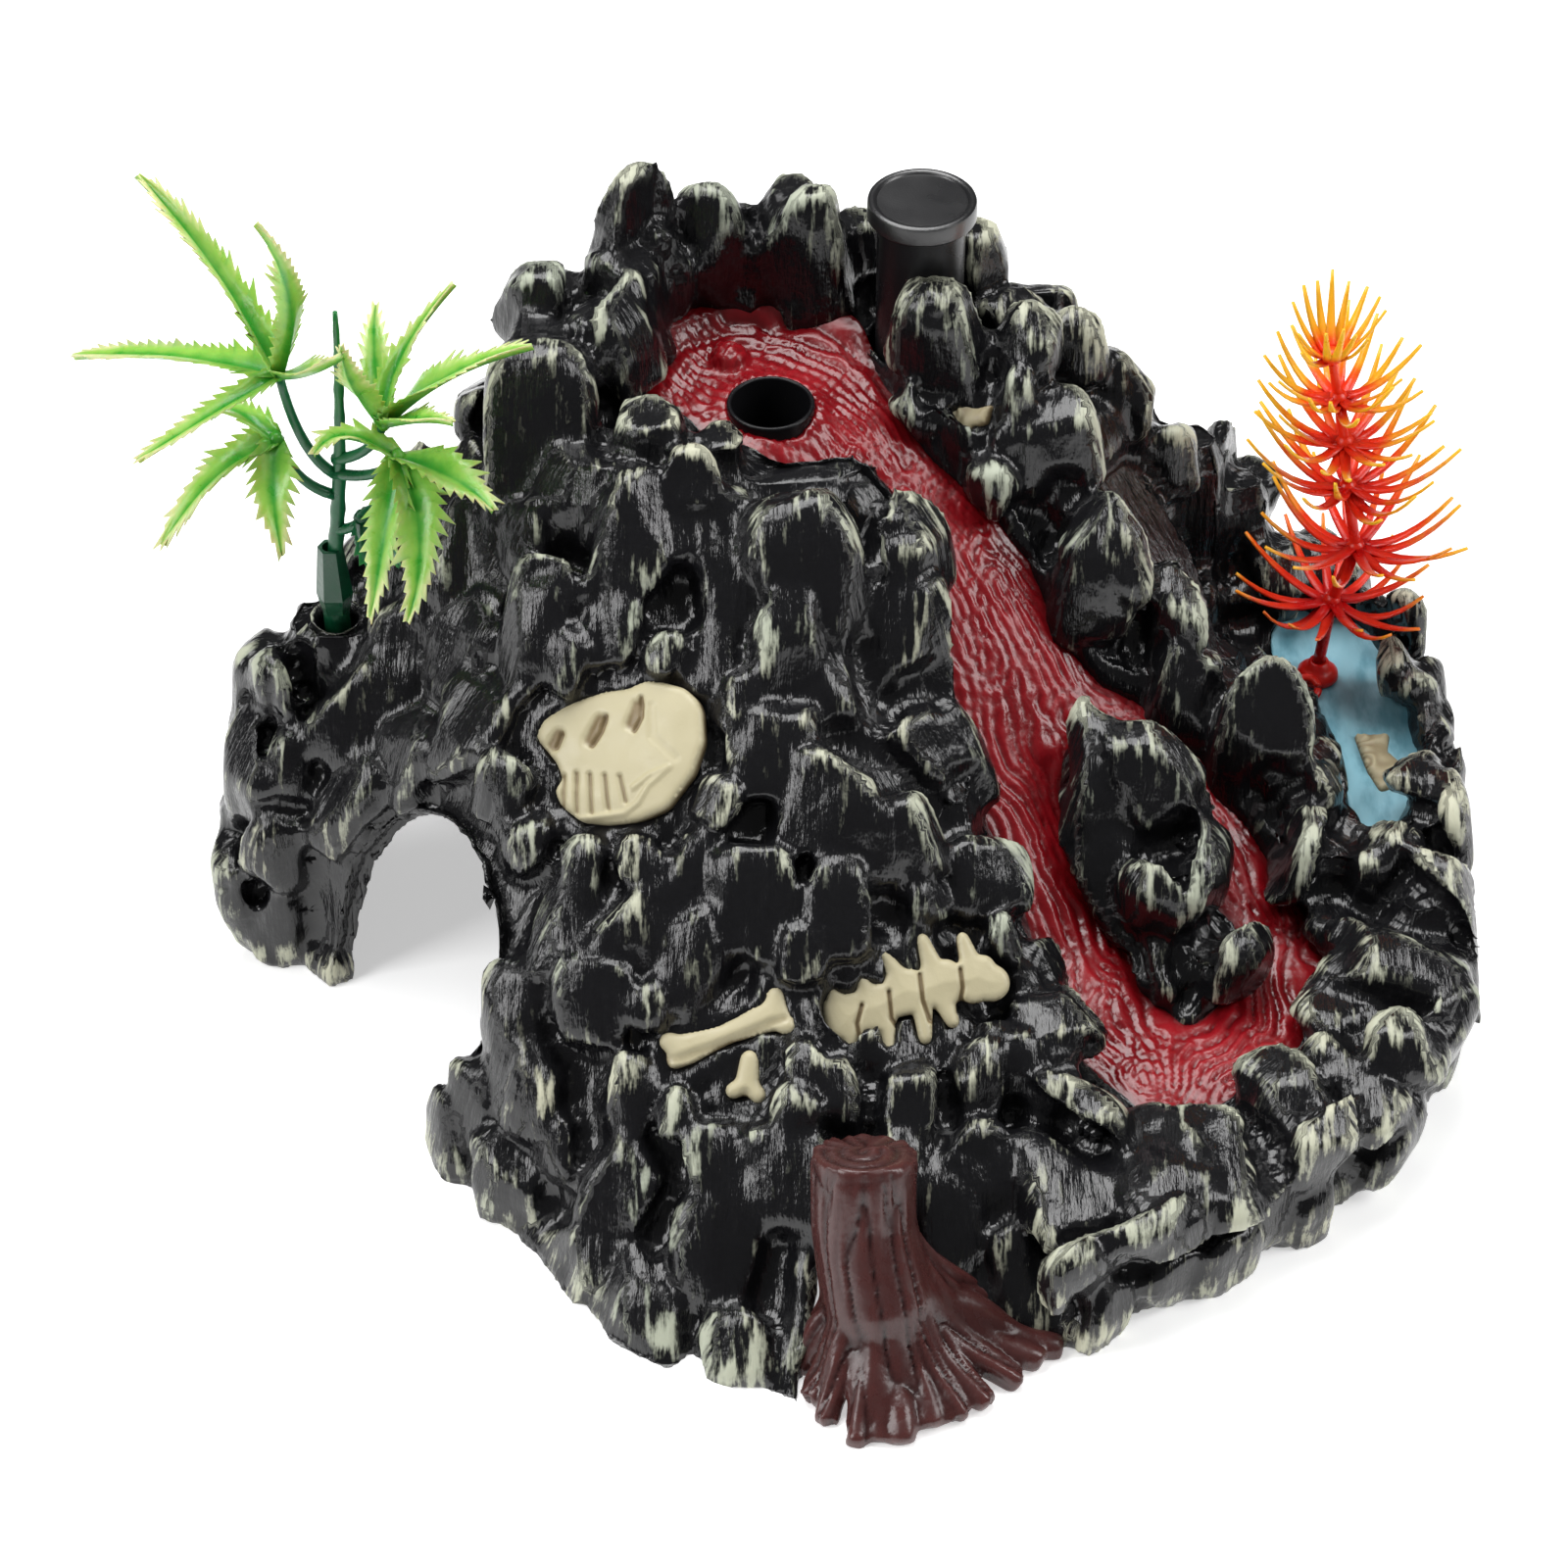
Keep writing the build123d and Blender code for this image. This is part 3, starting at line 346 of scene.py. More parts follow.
def stone_material():
    """Sintered grains of the air stone."""
    material, shader = new_material("porous_stone")
    place = coordinates(material)
    grains = add_node(material, "TexVoronoi", {"Vector": place, "Scale": 1400.0}).outputs["Distance"]
    colour = mix_of(material, grains, rgb(0.42, 0.45, 0.50), rgb(0.12, 0.13, 0.15))
    gloss = range_of(material, grains, 0.0, 0.8, 0.7, 0.95)
    return painted(material, shader, colour, gloss, bump_of(material, grains, 0.0008, 1.0))


def plant_material(name, dark, bright, edge, sub):
    """Soft plastic whose colour runs with the tint stored on the mesh, 0 to 1, through three colours."""
    material, shader = new_material(name, Subsurface_Weight=sub, Subsurface_Scale=0.002)
    place = coordinates(material)
    tint = attribute(material, "tint")
    cloud = noise_of(material, place, 190.0, 3.0)
    tint = math_of(material, "ADD", tint, range_of(material, cloud, 0.3, 0.7, -0.10, 0.10), clamp=True)
    inner = mix_of(material, range_of(material, tint, 0.0, 0.5), dark, bright)
    colour = mix_of(material, range_of(material, tint, 0.45, 1.0), inner, edge)
    gloss = range_of(material, cloud, 0.3, 0.7, 0.26, 0.42)
    veins = bump_of(material, noise_of(material, place, 800.0, 2.0), 0.0002, 0.5)
    return painted(material, shader, colour, gloss, veins)


ROCK = rock_material()
LAVA = lava_material()
POOL = pool_material()
BONE = bone_material()
WOOD = wood_material()
FITTING = fitting_material("black_fitting", 1.3)
CAP = fitting_material("black_cap", 1.75)
STONE = stone_material()
PALM_LEAF = plant_material("palm_leaf", rgb(0.03, 0.30, 0.02), rgb(0.24, 0.50, 0.07),
                           rgb(0.60, 0.66, 0.30), 0.25)
PALM_STEM = plant_material("palm_stem", rgb(0.001, 0.05, 0.02), rgb(0.003, 0.10, 0.035),
                           rgb(0.02, 0.22, 0.04), 0.05)
FERN = plant_material("fern", rgb(0.56, 0.003, 0.003), rgb(0.78, 0.030, 0.004),
                      rgb(0.92, 0.50, 0.02), 0.12)


# ---------------------------------------------------------------- pieces
def add_piece(name, points, faces, body, material, replaces, values=None, vectors=None, sharp=None):
    """A visible piece from points in millimetres, riding on a body and standing for CAD nodes."""
    mesh = bpy.data.meshes.new(name)
    mesh.from_pydata((np.asarray(points) * MM).tolist(), [], [list(map(int, face)) for face in faces])
    mesh.validate()
    mesh.update()
    mesh.shade_smooth()
    if sharp:
        mesh.set_sharp_from_angle(angle=math.radians(sharp))
    for key, value in (values or {}).items():
        mesh.attributes.new(key, "FLOAT", "POINT").data.foreach_set("value", np.asarray(value, np.float32))
    for key, value in (vectors or {}).items():
        flat = np.asarray(value, np.float32).ravel()
        mesh.attributes.new(key, "FLOAT_VECTOR", "POINT").data.foreach_set("vector", flat)
    mesh.materials.append(material)
    piece = bpy.data.objects.new(name, mesh)
    bpy.context.scene.collection.objects.link(piece)
    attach(piece, body)
    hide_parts(*replaces)


def sheet_faces(rows, columns, offset=0, flip=False):
    """Four-sided faces of a grid of points."""
    index = np.arange(rows * columns).reshape(rows, columns) + offset
    corners = [index[:-1, :-1], index[:-1, 1:], index[1:, 1:], index[1:, :-1]]
    quads = np.stack(corners, -1).reshape(-1, 4)
    return quads[:, ::-1] if flip else quads


def slab(top, bottom):
    """Closed thin solid between two grids of points of the same shape."""
    rows, columns = top.shape[:2]
    count = rows * columns
    faces = np.concatenate([sheet_faces(rows, columns), sheet_faces(rows, columns, count, True)]).tolist()
    index = np.arange(count).reshape(rows, columns)
    rim = list(index[0]) + list(index[1:, -1]) + list(index[-1, -2::-1]) + list(index[-2:0:-1, 0])
    for here, there in zip(rim, rim[1:] + rim[:1]):
        faces.append([there, here, here + count, there + count])
    return np.concatenate([top.reshape(-1, 3), bottom.reshape(-1, 3)]), faces


def lathe(profile, centre, segments=96):
    """Closed profile of radius and height turned round an upright axis."""
    profile = np.asarray(profile, float)
    angles = np.arange(segments) * 2 * math.pi / segments
    points = np.empty((segments, len(profile), 3))
    points[..., 0] = centre[0] + np.cos(angles)[:, None] * profile[:, 0]
    points[..., 1] = centre[1] + np.sin(angles)[:, None] * profile[:, 0]
    points[..., 2] = profile[:, 1]
    index = np.arange(segments * len(profile)).reshape(segments, -1)
    nxt, below = np.roll(index, -1, 0), np.roll(index, -1, 1)
    faces = np.stack([index, nxt, np.roll(nxt, -1, 1), below], -1).reshape(-1, 4)
    return points.reshape(-1, 3), faces


def tube(path, radii, sides):
    """Round rod along a path, closed at both ends."""
    path = np.asarray(path, float)
    along = unit(np.gradient(path, axis=0))
    side = unit(np.cross(along, [0.31, 0.95, 0.05]))
    other = np.cross(along, side)
    angles = np.arange(sides) * 2 * math.pi / sides
    ring = np.cos(angles)[None, :, None] * side[:, None]
    ring = ring + np.sin(angles)[None, :, None] * other[:, None]
    points = (path[:, None] + ring * np.asarray(radii, float)[:, None, None]).reshape(-1, 3)
    faces = []
    for row in range(len(path) - 1):
        for k in range(sides):
            here, there = row * sides + k, row * sides + (k + 1) % sides
            faces.append([here, there, there + sides, here + sides])
    faces.append(list(range(sides))[::-1])
    faces.append(list(range(len(points) - sides, len(points))))
    return points, faces


def rod(path, radii, sides, value):
    """A tube with one value at all its points, as a part for joined()."""
    points, faces = tube(path, radii, sides)
    return points, faces, np.full(len(points), value)


def bezier(start, control, end, count):
    """Points along a curve of one bend."""
    t = np.linspace(0, 1, count)[:, None]
    return (1 - t) ** 2 * start + 2 * t * (1 - t) * control + t ** 2 * end


def joined(parts):
    """Several meshes of points, faces and one value a point as one."""
    points, faces, values, count = [], [], [], 0
    for part_points, part_faces, part_values in parts:
        points.append(part_points)
        faces += [[corner + count for corner in face] for face in part_faces]
        values.append(part_values)
        count += len(part_points)
    return np.concatenate(points), faces, np.concatenate(values)


# ---------------------------------------------------------------- rock
CENTRE = np.array([0.0, 55.0])  # the axis that the rock's grooves run down from
CRATER = np.array([-9.0, 88.0])
CREST_FOOT = 122.0  # above this the CAD's own pillars are left bare
OUTLET_VIEW = 37.0  # no loose boulder stands closer than this before the outlet
HOSE_NOTCH = (40.0, 4.5, 14.0)  # x of the air line's notch in the rear rim, its half width, room above
BOULDER_SAMPLES = 13000  # places tried
BOULDER_SPACING = 0.315  # least distance between two, as a share of their widths together
BOULDER_POWER = 4.6  # 2 is round, more is squarer
BOULDER_CHIPS = 7  # flat cuts on each
BOULDER_THICK = 0.75  # thickness as a share of the width
BOULDER_SINK = 3.0  # how far a back goes into the wall
BOULDER_DRAWN = 0.012  # how much boulders lean to the axis
SLAB_PROUD, SLAB_TAPER = 9.0, 0.15
GAP_DEPTH = 3.4  # of the grooves between boulders
LUMP_SIZE, LUMP_HEIGHT = 10, 0.55
FINE_GROOVE, FINE_DEPTH = 3.4, 0.35
BROAD_GROOVE, BROAD_DEPTH = 7, 0.5
CRACK_SIZE, CRACK_DEPTH = 11, 1.1
INNER_SCALE = 0.72  # boulders inside the crater are smaller
LINING_TOP = 138.0  # no loose boulder inside the crater is higher
# Room that boulders leave round inlays, fittings, the outlet's view and the arches, in shares of their width.
INLAY_ROOM, FITTING_ROOM, VIEW_ROOM, ARCH_ROOM = 0.38, 0.55, 0.3, 0.28
# Pale paint that the brush leaves on edges, shoulders, their tops and the foot, and how much less in grooves.
EDGE_PAINT, SHOULDER_PAINT, TOP_PAINT, FOOT_PAINT, GROOVE_PAINT = 0.34, 0.20, 0.06, 0.42, 0.35
# Courses of large slabs round the crater: heading from it and distance of the first slab, then of the last,
# how many, their width and height, how much they face up, and how far they may stand out.
COURSES = [
    ((-180, 47), (-104, 50), 3, 15, 22, 0.45, 8),  # lip
    ((-145, 56), (-77, 67), 3, 26, 42, 0.60, 15),  # upper front
    ((-145, 80), (-62, 75), 5, 19, 34, 0.61, 10),  # middle front
    ((-80, 105), (-64, 120), 3, 21, 26, 0.62, 10),  # lower front
    ((-14, 73), (-4, 65), 2, 19, 30, 0.42, 12),  # shoulder beside the lava
    ((8, 63), (3, 100), 4, 18, 24, 0.42, 10),  # rear ridge
    ((-25, 91), (-26, 132), 3, 21, 37, 0.52, 11),  # bank beside the lava
]
COURSE_WAVE = 0.12  # how much wider every other slab is
LINING = ((45, 24), (175, 24), 5, 16, 36, 0.20, 8)  # slabs up the inner wall of the crater
LINING_HEIGHT = 134.0
TUBE_SLAB = ((3, -12), 127, 25, 38, 0.15, 26)  # the slab before the tube: from its axis, then as above
# The two arches: a point of each, the way it faces in degrees; then their width and height.
ARCHES = [((-94.0, -20.0), 212.0), ((-88.0, 96.0), 137.0)]
ARCH_WIDTH = 54.0
ARCH_HEIGHT = 58.0
# Nodes that stand in a hole of the rock, with the room round each.
BORES = (("palm_plug", 0.35), ("fern_foot", 0.35), ("outlet_sleeve", 0.0), ("service_tube", 0.0),
         ("tube_cap", 0.8))
# Directions in which open_share() looks for the sky.
SKY = unit(np.array([(0, 0, 1)] + [(math.cos(a), math.sin(a), 0.7) for a in np.arange(6) * math.pi / 3]))
FITTED = tuple(node for node, _ in BORES) + ("palm_stem", "fern_stem")
RELIEFS = ("skull_plaque", "spine_relief", "bone_reliefs", "wall_fossil", "pool_water")
INLAYS = RELIEFS + ("lava_flow", "tree_stump")


def open_share(points, normals, tree, lift=1.2):
    """Share of a few upward directions in which a point sees the sky."""
    starts = points + normals * lift
    seen = np.zeros(len(points))
    for direction in SKY:
        ray = Vector(direction)
        seen += [tree.ray_cast(Vector(start), ray)[0] is None for start in starts.tolist()]
    return seen / len(SKY)


def outer_samples(count, tree):
    """Random points on the outside of the CAD rock, with their normals."""
    points, triangles = cad_mesh("rock_shell")
    normals, area = face_normals(points, triangles)
    pick = RANDOM.choice(len(triangles), count, p=area / area.sum())
    share = RANDOM.random((count, 2))
    share = np.where(share.sum(1, keepdims=True) > 1, 1 - share, share)
    a, b, c = (points[triangles[pick, k]] for k in range(3))
    spots = a + (b - a) * share[:, :1] + (c - a) * share[:, 1:]
    keep = (normals[pick][:, 2] > -0.35) & (spots[:, 2] > 2)
    spots, facing = spots[keep], normals[pick][keep]
    seen = open_share(spots, facing, tree) > 0.25
    return spots[seen], facing[seen]


def boulder_width(height):
    """Rocks are small at the foot and large at the crest."""
    return 21.0 + 12.0 * np.clip(height / 140, 0, 1)


def clearance(points, tree):
    """Distance from points to a tree's surface."""
    return np.array([tree.find_nearest(Vector(point))[3] for point in points.tolist()])


def arch_distance(points, place, heading):
    """Distance from the middle line of a round-topped tunnel, its parts across and up, and the way across."""
    turn = math.radians(heading)
    across = np.array([-math.sin(turn), math.cos(turn)])
    offset = points[:, :2] - place
    side, depth = offset @ across, offset @ [math.cos(turn), math.sin(turn)]
    rise = np.maximum(points[:, 2] - (ARCH_HEIGHT - ARCH_WIDTH / 2), 0)
    distance = np.where((depth > -30) & (depth < 50), np.hypot(side, rise), np.inf)
    return distance, side, rise, across


def clear_arch(points, place, heading):
    """Moves points out of a round-topped tunnel."""
    distance, side, rise, across = arch_distance(points, place, heading)
    limit = ARCH_WIDTH / 2 - 0.5
    inside = (distance < limit) & (distance > 3)
    scale = limit / distance[inside]
    points[inside, :2] += (side[inside] * (scale - 1))[:, None] * across
    points[inside, 2] += rise[inside] * (scale - 1)


def course_slabs(tree, course, height=None):
    """The slabs of one course, on the CAD rock: place, width, height, share facing up and reach."""
    (first_turn, first_out), (last_turn, last_out), count, width, tall, up, reach = course
    slabs = []
    for k, share in enumerate(np.linspace(0, 1, count)):
        turn = math.radians(first_turn + (last_turn - first_turn) * share)
        out = first_out + (last_out - first_out) * share
        x, y = CRATER + out * np.array([math.cos(turn), math.sin(turn)])
        if height is None:
            spot = tree.ray_cast(Vector((x, y, BOX_HIGH[2])), Vector((0, 0, -1)))[0]
        else:
            spot = tree.find_nearest(Vector((x, y, height)))[0]
        scale = 1 + COURSE_WAVE * (-1) ** k
        if cad_tree(*RELIEFS).find_nearest(spot)[3] > 0.45 * tall * scale:
            slabs.append((np.array(spot), width * scale, tall * scale, up, reach))
    return slabs


def large_slabs(tree):
    """The slabs of every course, of the crater's lining and before the tube."""
    slabs = [slab for course in COURSES for slab in course_slabs(tree, course)]
    slabs += course_slabs(tree, LINING, LINING_HEIGHT)
    offset, height, width, tall, up, reach = TUBE_SLAB
    place = np.append(axis_mm("service_tube") + offset, height)
    return slabs + [(place, width, tall, up, reach)]


def in_fern_sweep(points):
    """Whether points are where the fern's lowest whorls pass as it turns."""
    axis = axis_mm("fern_foot")
    inside = np.zeros(len(points), bool)
    for name in ("fern_whorl_1", "fern_whorl_2"):
        low, high = box_mm(name)
        sweep = np.abs(np.array([low[:2], high[:2]]) - axis).max() + 1.0
        near = np.linalg.norm(points[:, :2] - axis, axis=1) < sweep
        inside |= near & (points[:, 2] > low[2] - 1.0)
    return inside


def choose_spots(tree, slabs):
    """Places for the boulders, spaced by size and clear of the slabs and of what is set into the rock."""
    spots, facing = outer_samples(BOULDER_SAMPLES, tree)
    width = boulder_width(spots[:, 2]) * RANDOM.uniform(0.75, 1.2, len(spots))
    inward = ((CRATER - spots[:, :2]) * facing[:, :2]).sum(1) > 0
    width[inward & (spots[:, 2] > 100)] *= INNER_SCALE
    width = np.minimum(width, 1.35 * clearance(spots, cad_tree(*RELIEFS)))
    free = (clearance(spots, cad_tree("lava_flow", "tree_stump")) > INLAY_ROOM * width) & (width > 9)
    free &= clearance(spots, cad_tree(*FITTED)) > FITTING_ROOM * width + 2
    free &= spots[:, 2] < np.where(inward, LINING_TOP, CREST_FOOT)
    from_outlet = np.linalg.norm(spots[:, :2] - axis_mm("outlet_sleeve"), axis=1)
    free &= (from_outlet > OUTLET_VIEW + VIEW_ROOM * width) | (spots[:, 1] > box_mm("outlet_sleeve")[0][1])
    notch_x, notch_half, notch_room = HOSE_NOTCH
    beside = np.abs(spots[:, 0] - notch_x) > notch_half + 0.6 * width
    free &= beside | (spots[:, 1] < CENTRE[1]) | (spots[:, 2] > notch_room + 0.8 * width)
    for place, heading in ARCHES:
        free &= arch_distance(spots, place, heading)[0] > ARCH_WIDTH / 2 + ARCH_ROOM * width
    taken, sizes = [slab[0] for slab in slabs], [slab[1] * 1.1 for slab in slabs]
    chosen = []
    for i in np.flatnonzero(free):
        apart = np.array(taken) - spots[i]
        apart[:, 2] /= 1.25
        if np.all(np.linalg.norm(apart, axis=1) >= BOULDER_SPACING * (np.array(sizes) + width[i])):
            chosen.append(i)
            taken.append(spots[i])
            sizes.append(width[i])
    return spots[chosen], facing[chosen], width[chosen]


def sphere_mesh(level):
    """Points and faces of a round start shape."""
    shape = bmesh.new()
    bmesh.ops.create_icosphere(shape, subdivisions=level, radius=1.0)
    points = np.array([v.co for v in shape.verts])
    faces = np.array([[v.index for v in face.verts] for face in shape.faces])
    shape.free()
    return points, faces


def boulder_points(ball, spot, facing, width, tall, proud, drawn, taper):
    """One rounded, chipped slab standing up the slope, its top leaning out and its back sunk in the wall."""
    outward = unit(facing + [0, 0, 0.05])
    inwards = np.append(CENTRE - spot[:2], 0) * drawn * max(0.0, facing[2])
    uphill = unit((UP + inwards) - outward * np.dot(UP + inwards, outward))
    lean = RANDOM.uniform(0.10, 0.28)
    roll = RANDOM.uniform(-0.22, 0.22)
    across = np.cross(uphill, outward)
    uphill = unit(uphill + outward * lean + across * roll)
    across = unit(np.cross(uphill, outward))
    outward = np.cross(across, uphill)
    size = (np.abs(ball) ** BOULDER_POWER).sum(1, keepdims=True) ** (1 / BOULDER_POWER)
    shape = ball / size
    for cut in unit(RANDOM.normal(size=(BOULDER_CHIPS, 3))):
        depth = RANDOM.uniform(0.72, 0.95)
        shape = shape - np.maximum(0, shape @ cut - depth)[:, None] * cut
    thick = width * BOULDER_THICK
    shape[:, 0] *= 1 - taper * shape[:, 1]
    local = shape * [width / 2, tall / 2, thick / 2]
    local[:, 2] = np.maximum(local[:, 2] + proud - thick / 2, -BOULDER_SINK)
    return spot + local @ np.array([across, uphill, outward])


def hug(points, tree, reach=7.6, under=1.2):
    """Draws points back to the CAD rock where they stand too far out of it, or hang too far under it."""
    out = points.copy()
    for i, point in enumerate(points.tolist()):
        near, _, _, distance = tree.find_nearest(Vector(point))
        limit = under if near.z - point[2] > 0.6 * distance else reach
        if distance > limit:
            out[i] = np.array(near) + (np.array(point) - np.array(near)) * limit / distance
    return out


def remeshed(points, faces, size):
    """One skin round overlapping closed shapes, as points, four-sided faces and edges."""
    mesh = bpy.data.meshes.new("rough")
    mesh.from_pydata((points * MM).tolist(), [], faces)
    mesh.update()
    rough = bpy.data.objects.new("rough", mesh)
    bpy.context.scene.collection.objects.link(rough)
    skin = rough.modifiers.new("skin", "REMESH")
    skin.mode = "VOXEL"
    skin.voxel_size = size * MM
    skin.use_smooth_shade = True
    result = rough.evaluated_get(bpy.context.evaluated_depsgraph_get()).to_mesh()
    out = np.empty(len(result.vertices) * 3)
    result.vertices.foreach_get("co", out)
    quads = [tuple(polygon.vertices) for polygon in result.polygons]
    edges = np.empty(len(result.edges) * 2, dtype=np.int64)
    result.edges.foreach_get("vertices", edges)
    bpy.data.objects.remove(rough)
    return out.reshape(-1, 3) / MM, quads, edges.reshape(-1, 2)


def averaged(values, edges, rounds):
    """Values at the points, blurred along the edges."""
    count = len(values)
    degree = np.maximum(np.bincount(edges.ravel(), minlength=count), 1)
    flat = values.reshape(count, -1)
    for _ in range(rounds):
        total = np.empty_like(flat)
        for k in range(flat.shape[1]):
            total[:, k] = np.bincount(edges[:, 0], flat[edges[:, 1], k], count)
            total[:, k] += np.bincount(edges[:, 1], flat[edges[:, 0], k], count)
        flat = total / degree[:, None]
    return flat.reshape(values.shape)


def point_normals(points, quads):
    """Unit normals at the points of a mesh of four-sided faces."""
    quads = np.asarray(quads)
    a, b, c, d = (points[quads[:, k]] for k in range(4))
    cross = np.cross(c - a, d - b)
    normals = np.zeros_like(points)
    for corner in range(4):
        for k in range(3):
            normals[:, k] += np.bincount(quads[:, corner], cross[:, k], len(points))
    return unit(normals)


def flow_coordinates(points, normals):
    """Coordinates that change quickly across each face and slowly down it, by the eighth that it faces."""
    facing = normals[:, :2] + [0, -0.6]
    eighth = np.round(np.arctan2(facing[:, 1], facing[:, 0]) / (math.pi / 4))
    turn = eighth * math.pi / 4
    across = -np.sin(turn) * points[:, 0] + np.cos(turn) * points[:, 1]
    outward = np.cos(turn) * points[:, 0] + np.sin(turn) * points[:, 1]
    return np.stack([across + 31 * (eighth % 8), outward * 0.18, points[:, 2] * 0.18], axis=1)


def clear_bore(points, centre, radius, low, high):
    """Moves points off an upright cylinder."""
    offset = points[:, :2] - centre
    distance = np.linalg.norm(offset, axis=1)
    inside = (distance < radius) & (distance > radius * 0.5)
    inside &= (points[:, 2] > low) & (points[:, 2] < high)
    points[inside, :2] = centre + offset[inside] * (radius / distance[inside])[:, None]


def eased_inside(points, room=8.0):
    """Points drawn smoothly back from the sides of the CAD box, so that nothing ends flat against them."""
    out = points.copy()
    for k in (0, 1):
        for sign, side in ((1, BOX_HIGH[k]), (-1, -BOX_LOW[k])):
            start = side - room
            past = np.maximum(sign * out[:, k] - start, 0)
            out[:, k] = np.where(past > 0, sign * (start + room * (1 - np.exp(-past / room))), out[:, k])
    return out


def rock_piece():
    """The moulded shell: the CAD rock with boulders set on it, one skin, grooves and dry-brushed edges."""
    tree = cad_tree("rock_shell")
    base_points, base_triangles = cad_mesh("rock_shell")
    ball, ball_faces = sphere_mesh(3)
    reliefs = cad_tree(*RELIEFS)
    slabs = large_slabs(tree)
    rocks = []
    for spot, facing, width in zip(*choose_spots(tree, slabs)):
        tall, proud = width * RANDOM.uniform(1.1, 1.6), RANDOM.uniform(3.8, 7.0)
        taper = RANDOM.uniform(-0.02, 0.14)
        rough = boulder_points(ball, spot, facing, width, tall, proud, BOULDER_DRAWN, taper)
        rough = hug(rough, tree)
        if clearance(rough, reliefs).min() >= 0.8 and not in_fern_sweep(rough).any():
            rocks.append(rough)
    for spot, width, tall, up, reach in slabs:
        normal = tree.find_nearest(Vector(spot))[1]
        level = unit(np.array([normal.x, normal.y - 1.2, 0]))
        facing = level * math.sqrt(1 - up * up) + UP * up
        rough = boulder_points(ball, spot, facing, width, tall, SLAB_PROUD, 0.0, SLAB_TAPER)
        rocks.append(hug(rough, tree, reach))
    faces = base_triangles.tolist()
    for k in range(len(rocks)):
        faces += (ball_faces + len(base_points) + k * len(ball)).tolist()
    skin, quads, edges = remeshed(np.concatenate([base_points] + rocks), faces, VOXEL)
    skin = 0.5 * skin + 0.5 * averaged(skin, edges, 1)
    normals = point_normals(skin, quads)
    seen = open_share(skin, normals, tree)
    outside = ramp(seen, 0.1, 0.35) * ramp(skin[:, 2], 0.5, 4)
    outside = averaged(outside, edges, 2)
    gap = ramp(-clearance(skin, tree), -1.8, -0.2) * ramp(-skin[:, 2], -132, -124)
    gap *= ramp(clearance(skin, cad_tree(*INLAYS)), 2, 6) * ramp(skin[:, 2], 4, 10)
    gap = averaged(gap, edges, 1)
    flow = flow_coordinates(skin, averaged(normals, edges, 10))
    lumps = noise(skin / LUMP_SIZE, 1) * LUMP_HEIGHT
    grooves = noise(flow / FINE_GROOVE, 2) * FINE_DEPTH + noise(flow / BROAD_GROOVE, 3) * BROAD_DEPTH
    cracks = -CRACK_DEPTH * ramp(-np.abs(noise(flow / CRACK_SIZE, 4)), -0.10, 0.0)
    carving = averaged((lumps + grooves + cracks - GAP_DEPTH * gap) * outside, edges, 1)
    skin = eased_inside(skin) + normals * carving[:, None]
    low, high = BOX_LOW + 0.1, BOX_HIGH - 0.1
    low[2] = 0.0
    skin = np.clip(skin, low, high)
    skin[skin[:, 2] < 0.7, 2] = 0.0
    for place, heading in ARCHES:
        clear_arch(skin, place, heading)
    for node, room in BORES:
        low, high = box_mm(node)
        clear_bore(skin, axis_mm(node), radius_mm(node) + room, low[2] - 1, high[2] + 40)
    normals = point_normals(skin, quads)
    soft = averaged(skin, edges, 7)
    broad = averaged(soft, edges, 34)
    ridge = ((skin - soft) * normals).sum(1)
    shoulder = ((soft - broad) * normals).sum(1)
    tops = SHOULDER_PAINT + TOP_PAINT * np.maximum(0, normals[:, 2])
    brush = ramp(ridge, 0.05, 0.75) * EDGE_PAINT * seen
    brush += ramp(shoulder, 0.3, 2.4) * tops * seen
    brush += FOOT_PAINT * ramp(-skin[:, 2], -13, -3) * outside
    brush -= GROOVE_PAINT * ramp(-ridge, 0.05, 0.6)
    add_piece("volcano_rock", skin, quads, "shell", ROCK, ["rock_shell"],
              {"brush": brush}, {"flow": flow * MM})


rock_piece()


# ---------------------------------------------------------------- inlays
def loop_area(loop):
    """Area of a loop in its first two coordinates."""
    x, y = loop[:, 0], loop[:, 1]
    return abs(x @ np.roll(y, -1) - y @ np.roll(x, -1)) / 2


def triangle_edges(triangles):
    """The three edges of each triangle, in its own direction."""
    return np.concatenate([triangles[:, [0, 1]], triangles[:, [1, 2]], triangles[:, [2, 0]]])


def open_edges(triangles):
    """Edges of triangles that no other triangle shares."""
    existing = set(map(tuple, triangle_edges(triangles).tolist()))
    return [(a, b) for a, b in existing if (b, a) not in existing]


def outline_loops(points, triangles):
    """Closed loops of the open edges of a set of triangles, in their own direction."""
    onward = dict(open_edges(triangles))
    loops = []
    while onward:
        start, here = onward.popitem()
        loop = [start]
        while here != start and here in onward:
            loop.append(here)
            here = onward.pop(here)
        loops.append(points[loop])
    return sorted(loops, key=loop_area, reverse=True)


def softened(loop, spacing, rounds, grow):
    """A loop resampled evenly, with its corners rounded, moved outwards from what it encloses by grow."""
    closed = np.concatenate([loop, loop[:1]])
    lengths = np.concatenate([[0], np.cumsum(np.linalg.norm(np.diff(closed, axis=0), axis=1))])
    count = max(12, int(lengths[-1] / spacing))
    at = np.arange(count) * lengths[-1] / count
    loop = np.stack([np.interp(at, lengths, closed[:, k]) for k in range(2)], axis=1)
    for _ in range(rounds):
        loop = (np.roll(loop, 1, 0) + loop * 2 + np.roll(loop, -1, 0)) / 4
    along = unit(np.roll(loop, -1, 0) - np.roll(loop, 1, 0))
    return loop + np.stack([along[:, 1], -along[:, 0]], axis=1) * grow


